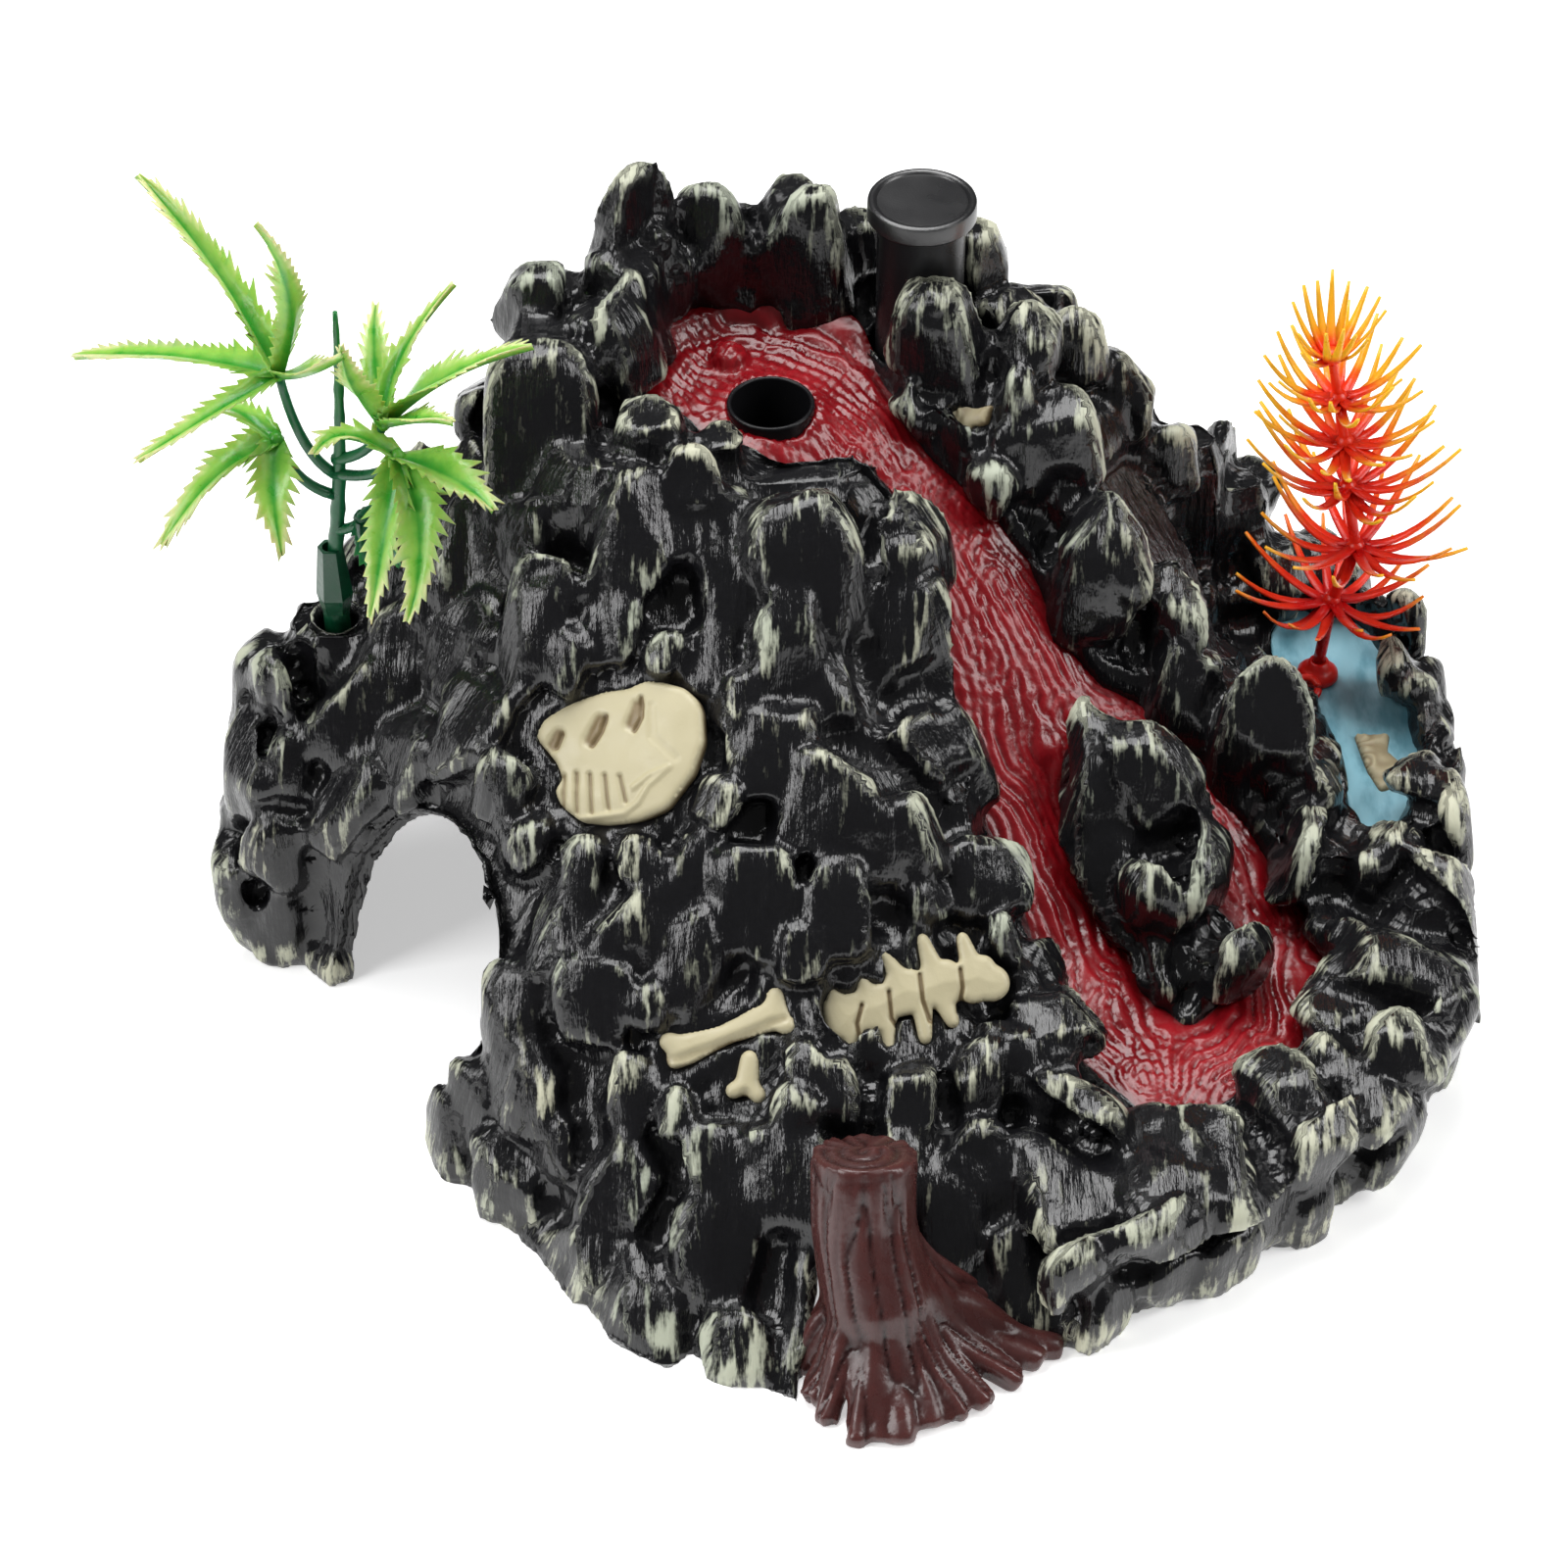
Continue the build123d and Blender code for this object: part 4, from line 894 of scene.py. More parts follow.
def round_hole(middle, radius, count):
    """Loop round a hole, in the opposite direction to an outer edge."""
    turns = -np.arange(count) * 2 * math.pi / count
    return middle + radius * np.stack([np.cos(turns), np.sin(turns)], 1)


def inside_loops(points, loops):
    """Whether points are inside an odd number of loops."""
    inside = np.zeros(len(points), bool)
    for loop in loops:
        for (x1, y1), (x2, y2) in zip(loop, np.roll(loop, -1, 0)):
            if y1 == y2:
                continue
            crosses = (y1 > points[:, 1]) != (y2 > points[:, 1])
            inside ^= crosses & (points[:, 0] < x1 + (points[:, 1] - y1) * (x2 - x1) / (y2 - y1))
    return inside


def edge_distance(points, loops):
    """Distance from points to the nearest point of the loops."""
    rim = np.concatenate(loops)
    out = np.empty(len(points))
    for start in range(0, len(points), 2000):
        part = points[start:start + 2000]
        out[start:start + 2000] = np.sqrt(((part[:, None] - rim[None]) ** 2).sum(2).min(1))
    return out


def filled(loops, cell):
    """Plan points and triangles that fill the loops."""
    rim = np.concatenate(loops)
    low, high = rim.min(0), rim.max(0)
    xs = np.arange(low[0], high[0], cell)
    ys = np.arange(low[1], high[1], cell * 0.866)
    grid = np.stack(np.meshgrid(xs, ys), -1)
    grid[1::2, :, 0] += cell / 2
    grid = grid.reshape(-1, 2)
    grid = grid[inside_loops(grid, loops)]
    grid = grid[edge_distance(grid, loops) > cell * 0.6]
    points = np.concatenate([rim, grid])
    edges, start = [], 0
    for loop in loops:
        count = len(loop)
        edges += [(start + i, start + (i + 1) % count) for i in range(count)]
        start += count
    plan, _, triangles = delaunay_2d_cdt([Vector(p) for p in points.tolist()], edges, [], 0, 1e-5)[:3]
    plan = np.array([tuple(p) for p in plan])
    triangles = np.array(triangles)
    middle = plan[triangles].mean(1)
    triangles = triangles[inside_loops(middle, loops)]
    used = np.unique(triangles)
    index = np.full(len(plan), -1)
    index[used] = np.arange(len(used))
    plan, triangles = plan[used], index[triangles]
    a, b, c = (plan[triangles[:, k]] for k in range(3))
    turned = (b - a)[:, 0] * (c - a)[:, 1] - (b - a)[:, 1] * (c - a)[:, 0] < 0
    triangles[turned] = triangles[turned][:, ::-1]
    return plan, triangles


def solid_sheet(top, bottom, triangles):
    """Closed solid between two surfaces that share their triangles."""
    count = len(top)
    faces = triangles.tolist() + (triangles[:, ::-1] + count).tolist()
    faces += [[b, a, a + count, b + count] for a, b in open_edges(triangles)]
    return np.concatenate([top, bottom]), faces


def top_faces(node, direction, cosine):
    """Points and the triangles of a CAD node that face a direction."""
    points, triangles = cad_mesh(node)
    normals, _ = face_normals(points, triangles)
    return points, triangles[normals @ direction > cosine]


ABOVE = 300.0  # a height over everything, in millimetres


def surface_heights(tree, plan):
    """Height of a surface under each plan point, from its nearest edge where the point is off it."""
    heights = np.empty(len(plan))
    down = Vector((0, 0, -1))
    for i, (x, y) in enumerate(plan.tolist()):
        hit = tree.ray_cast(Vector((x, y, ABOVE)), down)[0]
        heights[i] = hit.z if hit is not None else np.nan
    known = ~np.isnan(heights)
    for i in np.flatnonzero(~known):
        nearest = np.argmin(((plan[known] - plan[i]) ** 2).sum(1))
        heights[i] = heights[known][nearest]
    return heights


def mesh_edges(triangles):
    """Each edge of some triangles once."""
    return np.unique(np.sort(triangle_edges(triangles), axis=1), axis=0)


# ---------------------------------------------------------------- lava
LAVA_CELL = 0.9
LAVA_THICK = 4.0
LAVA_HEAD = (-33.0, 97.0)  # where the strands start, behind the outlet
LAVA_TOE = (84.0, -60.0)  # where they end
LAVA_STRANDS = 15
STREAM_CELL = 2.0
# Ripple patches: centre, radius of the patch and distance between its rings.
RIPPLES = [((44.4, 32.3), 15.0, 3.4), ((68.0, 31.0), 10.0, 3.0),
           ((100.0, -8.0), 9.0, 2.8), ((80.0, -45.0), 10.0, 3.2)]
HOLE_WRINKLES = 34
HOLE_SIDES = 72
SPREAD_ROUNDS = 1200  # of the stream function
DOME_HEIGHT, DOME_WIDTH = 1.6, 7  # how far the lava swells in from its banks
LIP_AT, LIP_HEIGHT, LIP_WIDTH = 25, 1.5, 2.4  # the ring round the outlet: radius, height and width
COLLAR_HEIGHT = 0.9  # of the lava against the outlet
STRAND_HEIGHT = 1.25
BACK_RISE = 6.0  # how much the lava climbs behind the outlet
DROPS = [((-12.4, 89.0), 4.6), ((16.6, 62.9), 2.2)]  # place and radius of the beads on the lava


def stream_function(loops):
    """Grid of the lava's stream function, 0 along one bank, 1 along the other and 0.5 round the island."""
    rim = np.concatenate(loops)
    low = rim.min(0) - 2 * STREAM_CELL
    size = ((rim.max(0) - low) / STREAM_CELL).astype(int) + 3
    corners = np.meshgrid(np.arange(size[0]), np.arange(size[1]), indexing="ij")
    grid = low + np.stack(corners, -1) * STREAM_CELL
    flat = grid.reshape(-1, 2)
    inside = inside_loops(flat, loops)
    outer = loops[0]
    head = np.argmin(((outer - LAVA_HEAD) ** 2).sum(1))
    toe = np.argmin(((outer - LAVA_TOE) ** 2).sum(1))
    place = (np.arange(len(outer)) - head) % len(outer)
    bank = (place > (toe - head) % len(outer)).astype(float)
    value = np.concatenate([bank] + [np.full(len(loop), 0.5) for loop in loops[1:]])
    nearest = np.array([np.argmin(((rim - p) ** 2).sum(1)) for p in flat])
    field = value[nearest].reshape(size)
    free = inside.reshape(size)
    for _ in range(SPREAD_ROUNDS):
        spread = np.roll(field, 1, 0) + np.roll(field, -1, 0)
        spread = spread + np.roll(field, 1, 1) + np.roll(field, -1, 1)
        field = np.where(free, spread / 4, field)
    return low, field


def sampled(low, cell, field, points):
    """Values of a grid at points between its corners."""
    at = (points - low) / cell
    base = np.clip(np.floor(at).astype(int), 0, np.array(field.shape) - 2)
    part = at - base
    i, j = base.T
    u, v = part.T
    near = field[i, j] * (1 - u) + field[i + 1, j] * u
    far = field[i, j + 1] * (1 - u) + field[i + 1, j + 1] * u
    return near * (1 - v) + far * v


def lava_relief(plan, loops):
    """Height of the ropy strands over the smooth stream, 0 to 1."""
    low, field = stream_function(loops)
    stream = sampled(low, STREAM_CELL, field, plan)
    flat = on_ground(plan)
    warp = noise(flat / 16, 21) * 0.08 + noise(flat / 7, 22) * 0.035 + noise(flat / 3.2, 26) * 0.012
    ropes = rope((stream + warp) * LAVA_STRANDS)
    thin = rope((stream + warp * 1.5) * LAVA_STRANDS * 2.1 + 0.3)
    mixed = np.clip(0.55 + noise(flat / 9, 27) * 0.7, 0.2, 0.9)
    relief = mixed * ropes + (1 - mixed) * thin
    for centre, size, pitch in RIPPLES:
        offset = plan - centre
        distance = np.linalg.norm(offset * [0.8, 1.25], axis=1) + noise(flat / 9, 23) * 4
        weight = 0.65 * ramp(-distance, -size, -size * 0.4) * ramp(noise(flat / 14, 25), -0.35, 0.1)
        relief = relief * (1 - weight) + rope(distance / pitch) * weight
    offset = plan - axis_mm("outlet_sleeve")
    distance = np.linalg.norm(offset, axis=1)
    turn = np.arctan2(offset[:, 1], offset[:, 0]) / (2 * math.pi)
    spokes = rope(turn * HOLE_WRINKLES + noise(flat / 7, 24) * 0.6)
    weight = 0.5 * ramp(-distance, -21, -13)
    relief = relief * (1 - weight) + (0.4 + 0.6 * spokes) * weight
    return relief


def lava_piece():
    """The red lava: ropy strands that part round the island, ripples, and a lip round the crater."""
    points, triangles = top_faces("lava_flow", UP, 0.3)
    raw = outline_loops(points, triangles)
    banks = [softened(loop[:, :2], 1.6, 3, 1.2) for loop in raw if len(loop) > 5]
    middle = axis_mm("outlet_sleeve")
    banks = [loop for loop in banks if np.linalg.norm(loop.mean(0) - middle) > 4]
    hole = round_hole(middle, radius_mm("outlet_sleeve"), HOLE_SIDES)
    plan, triangles = filled(banks + [hole], LAVA_CELL)
    base = surface_heights(cad_tree("lava_flow"), plan)
    base = averaged(base, mesh_edges(triangles), 20)
    relief = lava_relief(plan, banks)
    edge = edge_distance(plan, banks)
    flat = on_ground(plan)
    to_hole = np.linalg.norm(plan - middle, axis=1)
    dome = DOME_HEIGHT * (1 - np.exp(-edge / DOME_WIDTH)) + noise(flat / 13, 31) * 0.7
    lip = LIP_HEIGHT * np.exp(-((to_hole - LIP_AT - noise(flat / 9, 32) * 3) / LIP_WIDTH) ** 2)
    lip = lip * ramp(plan[:, 1], 70, 90)
    collar = COLLAR_HEIGHT * ramp(-to_hole, -15, -10.5)
    behind = ramp(to_hole, 25, 34) * ramp(plan[:, 1], 82, 98)
    strands = (relief - 0.6) * (0.55 + 0.85 * ramp(edge, 0, 6)) * STRAND_HEIGHT * (1 - 0.6 * behind)
    drops = np.zeros(len(plan))
    for place, size in DROPS:
        far = np.linalg.norm(plan - place, axis=1) / size
        drops = np.maximum(drops, 0.9 * size * np.sqrt(np.clip(1 - far ** 2, 0, 1)))
    top = np.column_stack([plan, base + dome + lip + collar + strands + drops + BACK_RISE * behind])
    bottom = np.column_stack([plan, base - LAVA_THICK])
    points, faces = solid_sheet(top, bottom, triangles)
    # Painted shade for the lava's colour: low in the folds between strands and beside the banks.
    crest = np.clip(relief * ramp(edge, -1, 5), 0, 1)
    add_piece("lava_stream", points, faces, "shell", LAVA, ["lava_flow"],
              {"crest": np.concatenate([crest, crest * 0])})


lava_piece()


# ---------------------------------------------------------------- pool
FERN_HOLE_R = 2.9  # hole in the pool for the fern's peg
POOL_CELL = 0.9


def pool_piece():
    """Blue pool with soft ripples and a hole for the fern's peg."""
    points, triangles = top_faces("pool_water", UP, 0.9)
    bank = softened(outline_loops(points, triangles)[0][:, :2], 1.5, 3, 1.0)
    middle = axis_mm("fern_foot")
    plan, triangles = filled([bank, round_hole(middle, FERN_HOLE_R, 36)], POOL_CELL)
    edge = edge_distance(plan, [bank])
    low, high = box_mm("pool_water")
    flat = on_ground(plan)
    ripples = noise(flat / [6, 15, 1], 41) * 0.5 + noise(flat / [2.5, 7, 1], 42) * 0.18
    rise = ripples * ramp(edge, 0, 4) + 0.8 * np.exp(-edge / 1.6)
    near = np.linalg.norm(plan - middle, axis=1)
    rise *= ramp(near, 5, 9)
    top = np.column_stack([plan, high[2] + rise])
    bottom = np.column_stack([plan, np.full(len(plan), low[2])])
    points, faces = solid_sheet(top, bottom, triangles)
    add_piece("pool_surface", points, faces, "shell", POOL, ["pool_water"])


pool_piece()


# ---------------------------------------------------------------- reliefs
def groove(points, start, end, width):
    """Depth share of a groove between two points, 1 along its middle."""
    start, end = np.asarray(start, float), np.asarray(end, float)
    along = end - start
    share = np.clip(((points - start) @ along) / (along @ along), 0, 1)
    distance = np.linalg.norm(points - (start + share[:, None] * along), axis=1)
    return ramp(-distance, -width, -width * 0.15)


def grooves(points, lines, width):
    """Deepest of several grooves, each a list of points."""
    depth = np.zeros(len(points))
    for line in lines:
        for start, end in zip(line, line[1:]):
            depth = np.maximum(depth, groove(points, start, end, width))
    return depth


# Places on each relief are measured on its slope from a point of it, x level and y uphill.
SKULL_AT = (-36, -7, 82)
SPINE_AT = (30, -45, 48)
BONES_AT = (-12, -55, 45)
SKULL_HOLLOWS = [[(-16.3, -1.0), (-15.9, 1.4)], [(-8.3, 3.0), (-7.9, 7.6)], [(-0.7, 9.6), (-1.0, 13.4)]]
SKULL_SLOTS = [[(-15.2, 1.8), (-15.2, -1.2)], [(-7.0, 9.0), (-6.6, 5.4), (-7.4, 1.8)],
               [(-1.0, 15.6), (1.0, 11.6), (0.6, 8.2)]]
SKULL_TEETH = [[(-11.0, -6.6), (-8.6, -12.6)], [(-8.3, -5.0), (-4.9, -12.8)], [(-5.2, -4.2), (-1.5, -11.8)],
               [(-1.8, -3.2), (1.9, -9.6)], [(1.6, -2.2), (5.0, -6.8)]]
SKULL_JAW = [[(-5.8, -15.0), (-1.6, -13.2), (5.8, -9.3), (7.9, -6.1), (8.7, -1.7), (11.5, 3.6)],
             [(5.6, -3.4), (8.0, 0.4), (11.5, 3.6)]]
SKULL_CHEEK = [[(2.2, 14.5), (5.2, 8.5), (12.0, 6.0)]]
SPINE_JOINTS = [[(-13.2, -0.6), (-14.5, -4.5), (-14.0, -9.4)], [(-7.1, 2.0), (-6.9, -3.9), (-5.0, -6.8)],
                [(-0.1, 5.4), (0.1, -0.2), (1.4, -4.8)], [(8.8, 6.0), (9.0, 1.9), (7.7, -3.2)]]
BONE_HOLLOWS = [[(-9, -4.5), (0, 0.2), (8, 4.6)], [(-13.5, -5.6), (-9.5, -4.7)], [(11.4, 6.4), (8.5, 5.0)],
                [(5.2, -13.6), (5.2, -10.4)]]


def skull_detail(points):
    """Nostril, eye slots, teeth, and the raised line of the jaw."""
    depth = grooves(points, SKULL_HOLLOWS, 2.6) * 0.9
    depth += grooves(points, SKULL_SLOTS, 0.9) * 0.9
    depth += grooves(points, SKULL_TEETH, 1.0) * 0.75
    depth += grooves(points, SKULL_CHEEK, 1.6) * 0.3
    return depth - grooves(points, SKULL_JAW, 1.0) * 0.5


def spine_detail(points):
    """Joints between the vertebrae."""
    return grooves(points, SPINE_JOINTS, 0.9) * 1.1


def bone_detail(points):
    """Shallow hollows along the shafts and between the knuckles."""
    return grooves(points, BONE_HOLLOWS, 1.5) * 0.45


def fossil_detail(points):
    """Rough strokes."""
    return 0.6 * rope(noise(on_ground(points) / 4, 51) * 1.3)


RELIEF_CELL = 0.45
EDGE_ROUND, EDGE_WIDTH = 1.3, 1.8  # how far a relief's edge drops, and over what width


def relief_piece(name, node, detail, origin, sunk=2.0, soft=3):
    """A cream relief on its slope: rounded edges, swollen middle and its own details."""
    points, triangles = cad_mesh(node)
    normals, area = face_normals(points, triangles)
    facing = normals[np.argmax(np.where(normals[:, 2] > 0.3, area, 0))]
    across = unit(np.cross(UP, facing)) if facing[2] < 0.999 else np.array([1.0, 0.0, 0.0])
    uphill = np.cross(facing, across)
    top = triangles[normals @ facing > 0.99]
    heights = points @ facing
    top = top[heights[top].mean(1) > heights.max() - 0.2]
    level = np.stack([across, uphill], 1)
    middle = np.array(origin, float) @ level
    raw = outline_loops(points @ level - middle, top)
    loops = [softened(loop, 0.6, soft, 0.25) for loop in raw]
    plan, fill = filled(loops, RELIEF_CELL)
    edge = edge_distance(plan, loops)
    flat = on_ground(plan)
    depth = detail(plan)
    round_edge = EDGE_ROUND * (1 - np.sqrt(1 - (1 - np.clip(edge / EDGE_WIDTH, 0, 1)) ** 2))
    swell = 0.7 * ramp(edge, 0, 7) + noise(flat / 6, 52) * 0.18
    rise = swell - round_edge - depth
    centre = middle[0] * across + middle[1] * uphill + heights.max() * facing
    surface = centre + plan[:, :1] * across + plan[:, 1:] * uphill
    top_points = surface + rise[:, None] * facing
    bottom = surface - (1.6 + sunk) * facing
    solid, faces = solid_sheet(top_points, bottom, fill)
    # Painted shade: crest is low in the hollows and at the rounded rim, where the cream paint turns brown.
    crest = np.clip(1 - depth * 0.9 - 0.5 * (round_edge > 1.0), 0, 1)
    add_piece(name, solid, faces, "shell", BONE, [node],
              {"crest": np.concatenate([crest, crest * 0])})


relief_piece("skull_relief", "skull_plaque", skull_detail, SKULL_AT)
relief_piece("spine_bones", "spine_relief", spine_detail, SPINE_AT)
relief_piece("thigh_bones", "bone_reliefs", bone_detail, BONES_AT)
relief_piece("wall_fossil_relief", "wall_fossil", fossil_detail, np.mean(box_mm("wall_fossil"), 0), soft=1)
relief_piece("pool_fossil_relief", "pool_fossil", fossil_detail, np.mean(box_mm("pool_fossil"), 0), 0.5, 1)


# ---------------------------------------------------------------- tree stump
STUMP_AXIS = [(21, -104, 2), (20, -101, 16), (17, -93, 30), (17, -86, 44)]  # x, y, height
STUMP_RADII = [12.5, 12.0, 11.0, 11.2]
# Roots: height at which each leaves the trunk, its tip, and its radius at the trunk.
STUMP_ROOTS = [
    (22, (2.5, -109), 4.0), (18, (5, -118), 4.6), (27, (9, -124), 3.4), (20, (15, -129.5), 5.0),
    (30, (20, -128), 3.6), (22, (25, -129), 4.6), (27, (31, -125), 3.6), (23, (37, -123.5), 4.6),
    (31, (43, -119.5), 4.0), (24, (50, -113.5), 5.0), (30, (55, -108), 3.6), (25, (60, -104), 4.4),
    (28, (53, -94), 4.0),
]
STUMP_CELL = 0.8
ROOT_POINTS = 12
ROOT_TIP = 2.7  # radius at the end of each root
BARK_DEPTH = 1.1
STUMP_TOP = 42.0  # above this is the ringed top
KNOB_AT, KNOB_HEIGHT = [3.0, 1.0], 1.6


def stump_piece():
    """Brown stump: gnarled trunk, fanned roots and a ringed top with a knob."""
    axis = np.array(STUMP_AXIS, float)
    parts = [rod(axis, STUMP_RADII, 28, 0.0)]
    for height, (x, y), radius in STUMP_ROOTS:
        core = np.array([np.interp(height, axis[:, 2], axis[:, k]) for k in (0, 1)] + [height])
        tip = np.array([x, y, 1.0])
        away = unit((tip - core) * [1, 1, 0])
        start = core + away * 6.0
        sway = np.array([away[1], -away[0], 0]) * RANDOM.uniform(-3, 3)
        knee = start + (tip - start) * [0.42, 0.42, 0.80] + sway
        path = bezier(start, knee, tip, ROOT_POINTS)
        path[:, 2] += 0.7 * np.sin(np.linspace(0, 3 * math.pi, ROOT_POINTS) + x)
        parts.append(rod(path, np.linspace(radius, ROOT_TIP, ROOT_POINTS), 12, 0.0))
    points, faces, _ = joined(parts)
    skin, quads, edges = remeshed(points, faces, STUMP_CELL)
    skin = 0.3 * skin + 0.7 * averaged(skin, edges, 3)
    normals = point_normals(skin, quads)
    centre = np.stack([np.interp(skin[:, 2], axis[:, 2], axis[:, k]) for k in (0, 1)], 1)
    offset = skin[:, :2] - centre
    radius = np.linalg.norm(offset, axis=1)
    turn = np.arctan2(offset[:, 1], offset[:, 0])
    around = np.stack([turn * 14, radius * 0.12, skin[:, 2] * 0.12], 1)
    bark = rope(noise(around / 3.2, 61) * 1.4) - 0.6
    top = ramp(skin[:, 2], STUMP_TOP, 43.6) * ramp(-radius, -12.5, -9.5)
    swirl = rope(radius / 3.4 + turn / (2 * math.pi), 0.7)
    skin = skin + normals * (bark * BARK_DEPTH * (1 - top))[:, None]
    knob = KNOB_HEIGHT * np.exp(-((offset - KNOB_AT) ** 2).sum(1) / 9)
    skin[:, 2] += top * ((swirl - 0.6) * 0.9 + knob)
    soft = averaged(skin, edges, 5)
    ridge = ((skin - soft) * normals).sum(1)
    # Painted light and shade for the wood: high on ridges and raised bark, low in the grooves.
    crest = np.clip(0.5 + ridge * 1.3 + 0.25 * bark, 0, 1)
    skin[:, 1] = np.clip(skin[:, 1], BOX_LOW[1] + 0.1, None)
    skin[:, 2] = np.clip(skin[:, 2], 0, None)
    add_piece("stump", skin, quads, "shell", WOOD, ["tree_stump"], {"crest": crest})


stump_piece()


# ---------------------------------------------------------------- fittings
SLEEVE_INNER, SLEEVE_OUTER, SLEEVE_LIP = 8.9, 10.0, 0.5
CAP_RIM = 8.2  # height of the cap's disc over the foot of its plug
AXIS = 0.01  # radius that closes a turned shape at its axis


def rounded_ring(inner, outer, low, high, lip):
    """Section of a tube wall with a rolled lip at its top."""
    turns = np.linspace(0, math.pi / 2, 6)
    arc = [(outer - lip + lip * math.cos(a), high - lip + lip * math.sin(a)) for a in turns]
    back = [(inner + lip - lip * math.sin(a), high - lip + lip * math.cos(a)) for a in turns]
    return [(inner, low), (outer, low)] + arc + back


def sleeve_piece():
    """Black sleeve that the bubbles come out of."""
    low, high = box_mm("outlet_sleeve")
    profile = rounded_ring(SLEEVE_INNER, SLEEVE_OUTER, low[2], high[2], SLEEVE_LIP)
    points, faces = lathe(profile, (low + high) / 2)
    add_piece("bubble_sleeve", points, faces, "shell", FITTING, ["outlet_sleeve"], sharp=35)


def cap_piece():
    """Cap of the service tube: a disc with a raised rim and a plug ring under it."""
    low, high = box_mm("tube_cap")
    radius = radius_mm("tube_cap")
    top, under = high[2], low[2] + CAP_RIM
    profile = [(AXIS, top - 0.7), (radius - 2.2, top - 0.7), (radius - 1.8, top - 0.25),
               (radius - 1.2, top - 0.02), (radius - 0.7, top - 0.05), (radius - 0.2, top - 0.4),
               (radius, top - 1.0), (radius, under + 0.5), (radius - 0.4, under), (9.0, under),
               (9.0, low[2] + 0.4), (8.6, low[2]), (7.6, low[2]), (7.4, low[2] + 0.3),
               (7.4, under + 1.4), (AXIS, under + 1.4)]
    points, faces = lathe(profile, (low + high) / 2)
    add_piece("service_cap", points, faces, "cap", CAP, ["tube_cap"], sharp=35)


sleeve_piece()
cap_piece()


def dress(node, material):
    """Gives a CAD node that stays a better material."""
    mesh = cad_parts[node].data
    mesh.materials.clear()
    mesh.materials.append(material)


for fitting in ("service_tube", "sleeve_lock_ring", "diffuser_cup"):
    dress(fitting, FITTING)
dress("air_stone", STONE)


# ---------------------------------------------------------------- palm
# Hub of each leaf cluster, then the middle and the tip of each of its leaves, and the leaf's width.
PALM_LEAVES = [
    ((-109, 42, 152), [((-121, 46, 178), (-135, 50, 198), 9), ((-104, 36, 178), (-108, 30, 200), 6),
                       ((-134, 54, 148), (-159, 70, 136), 8), ((-124, 32, 148), (-139, 26, 141), 6),
                       ((-101, 30, 162), (-92, 20, 174), 6)]),
    ((-87, 40, 140), [((-83, 45, 154), (-71, 50, 170), 5), ((-89, 50, 150), (-89, 60, 157), 6),
                      ((-91, 30, 158), (-92, 20, 176), 6), ((-72, 32, 159), (-53, 27, 171), 8),
                      ((-77, 24, 154), (-69, 10, 164), 5)]),
    ((-111, 42, 134), [((-125, 36, 128), (-137, 30, 114), 9), ((-111, 30, 129), (-109, 20, 119), 8),
                       ((-121, 50, 136), (-128, 58, 128), 6)]),
    ((-84, 36, 134), [((-87, 25, 122), (-91, 18, 103), 8), ((-79, 22, 124), (-82, 11, 108), 9),
                      ((-71, 24, 138), (-62, 15, 136), 9), ((-95, 36, 140), (-101, 28, 141), 6)]),
    ((-94, 42, 112), [((-89, 39, 119), (-84, 34, 119), 4), ((-90, 44, 104), (-86, 38, 101), 4),
                      ((-93, 36, 108), (-90, 30, 104), 4)]),
]
PALM_BRANCHES = [122.0, 126.0, 116.0, 122.0, 106.0]
PALM_STEM_LOW = np.array([-102.0, 45.0, 91.3])
PALM_TOP = np.array([-96.0, 45.0, 166.0])
LEAF_THICK = 0.7
LEAF_BROAD = 1.3  # how much wider the widest teeth reach than the widths above
TOOTH_PITCH = 2.6


def leaf(hub, middle, tip, width):
    """One serrated leaf: points, faces and its tint, 0 along the rib and 1 at the teeth."""
    hub, middle, tip = (np.array(p, float) for p in (hub, middle, tip))
    span = np.linalg.norm(middle - hub) + np.linalg.norm(tip - middle)
    width *= LEAF_BROAD
    teeth = max(7, int(span / TOOTH_PITCH))
    count = 2 * teeth + 1
    spine = bezier(hub, 2 * middle - (hub + tip) / 2, tip, count)
    along = unit(np.gradient(spine, axis=0))
    side = unit(np.cross(along, UP + 0.02))
    rise = np.cross(side, along)
    t = np.linspace(0, 1, count)
    shape = np.sin(math.pi * np.clip(t * 0.93 + 0.07, 0, 1) ** 0.72) ** 0.75
    half = width / 2 * np.maximum(shape, 0.06)
    pointed = np.where(np.arange(count) % 2 == 1, 1.0, 0.0) * (t < 0.97)
    columns = []
    for sign, share in ((-1, 1.0), (-1, 0.5), (1, 0.0), (1, 0.5), (1, 1.0)):
        tooth = pointed * RANDOM.uniform(0.25, 1.15, count)
        wave = 1 + 0.10 * np.sin(t * 11 + sign * 1.7)
        reach = half * share * wave * (0.70 + 0.50 * tooth * (share == 1.0))
        forward = tooth * (share == 1.0) * width * 0.30
        fold = (0.28 + 0.22 * np.sin(t * 7 + sign)) * reach - 0.05 * width * (share == 0.0)
        edge = spine + sign * side * reach[:, None] + along * forward[:, None]
        columns.append(edge + rise * fold[:, None])
    top = np.stack(columns, axis=1)
    thick = LEAF_THICK * np.array([0.45, 0.8, 1.5, 0.8, 0.45])[None, :, None]
    points, faces = slab(top, top - rise[:, None] * thick)
    tint = np.array([1.0, 0.62, 0.10, 0.62, 1.0]) * (0.35 + 0.75 * t[:, None])
    tint = np.clip(tint, 0, 1).ravel()
    return points, faces, np.concatenate([tint, tint])


def on_palm_stem(height):
    """Point on the palm's leaning stem."""
    share = (height - PALM_STEM_LOW[2]) / (PALM_TOP[2] - PALM_STEM_LOW[2])
    return PALM_STEM_LOW + (PALM_TOP - PALM_STEM_LOW) * share


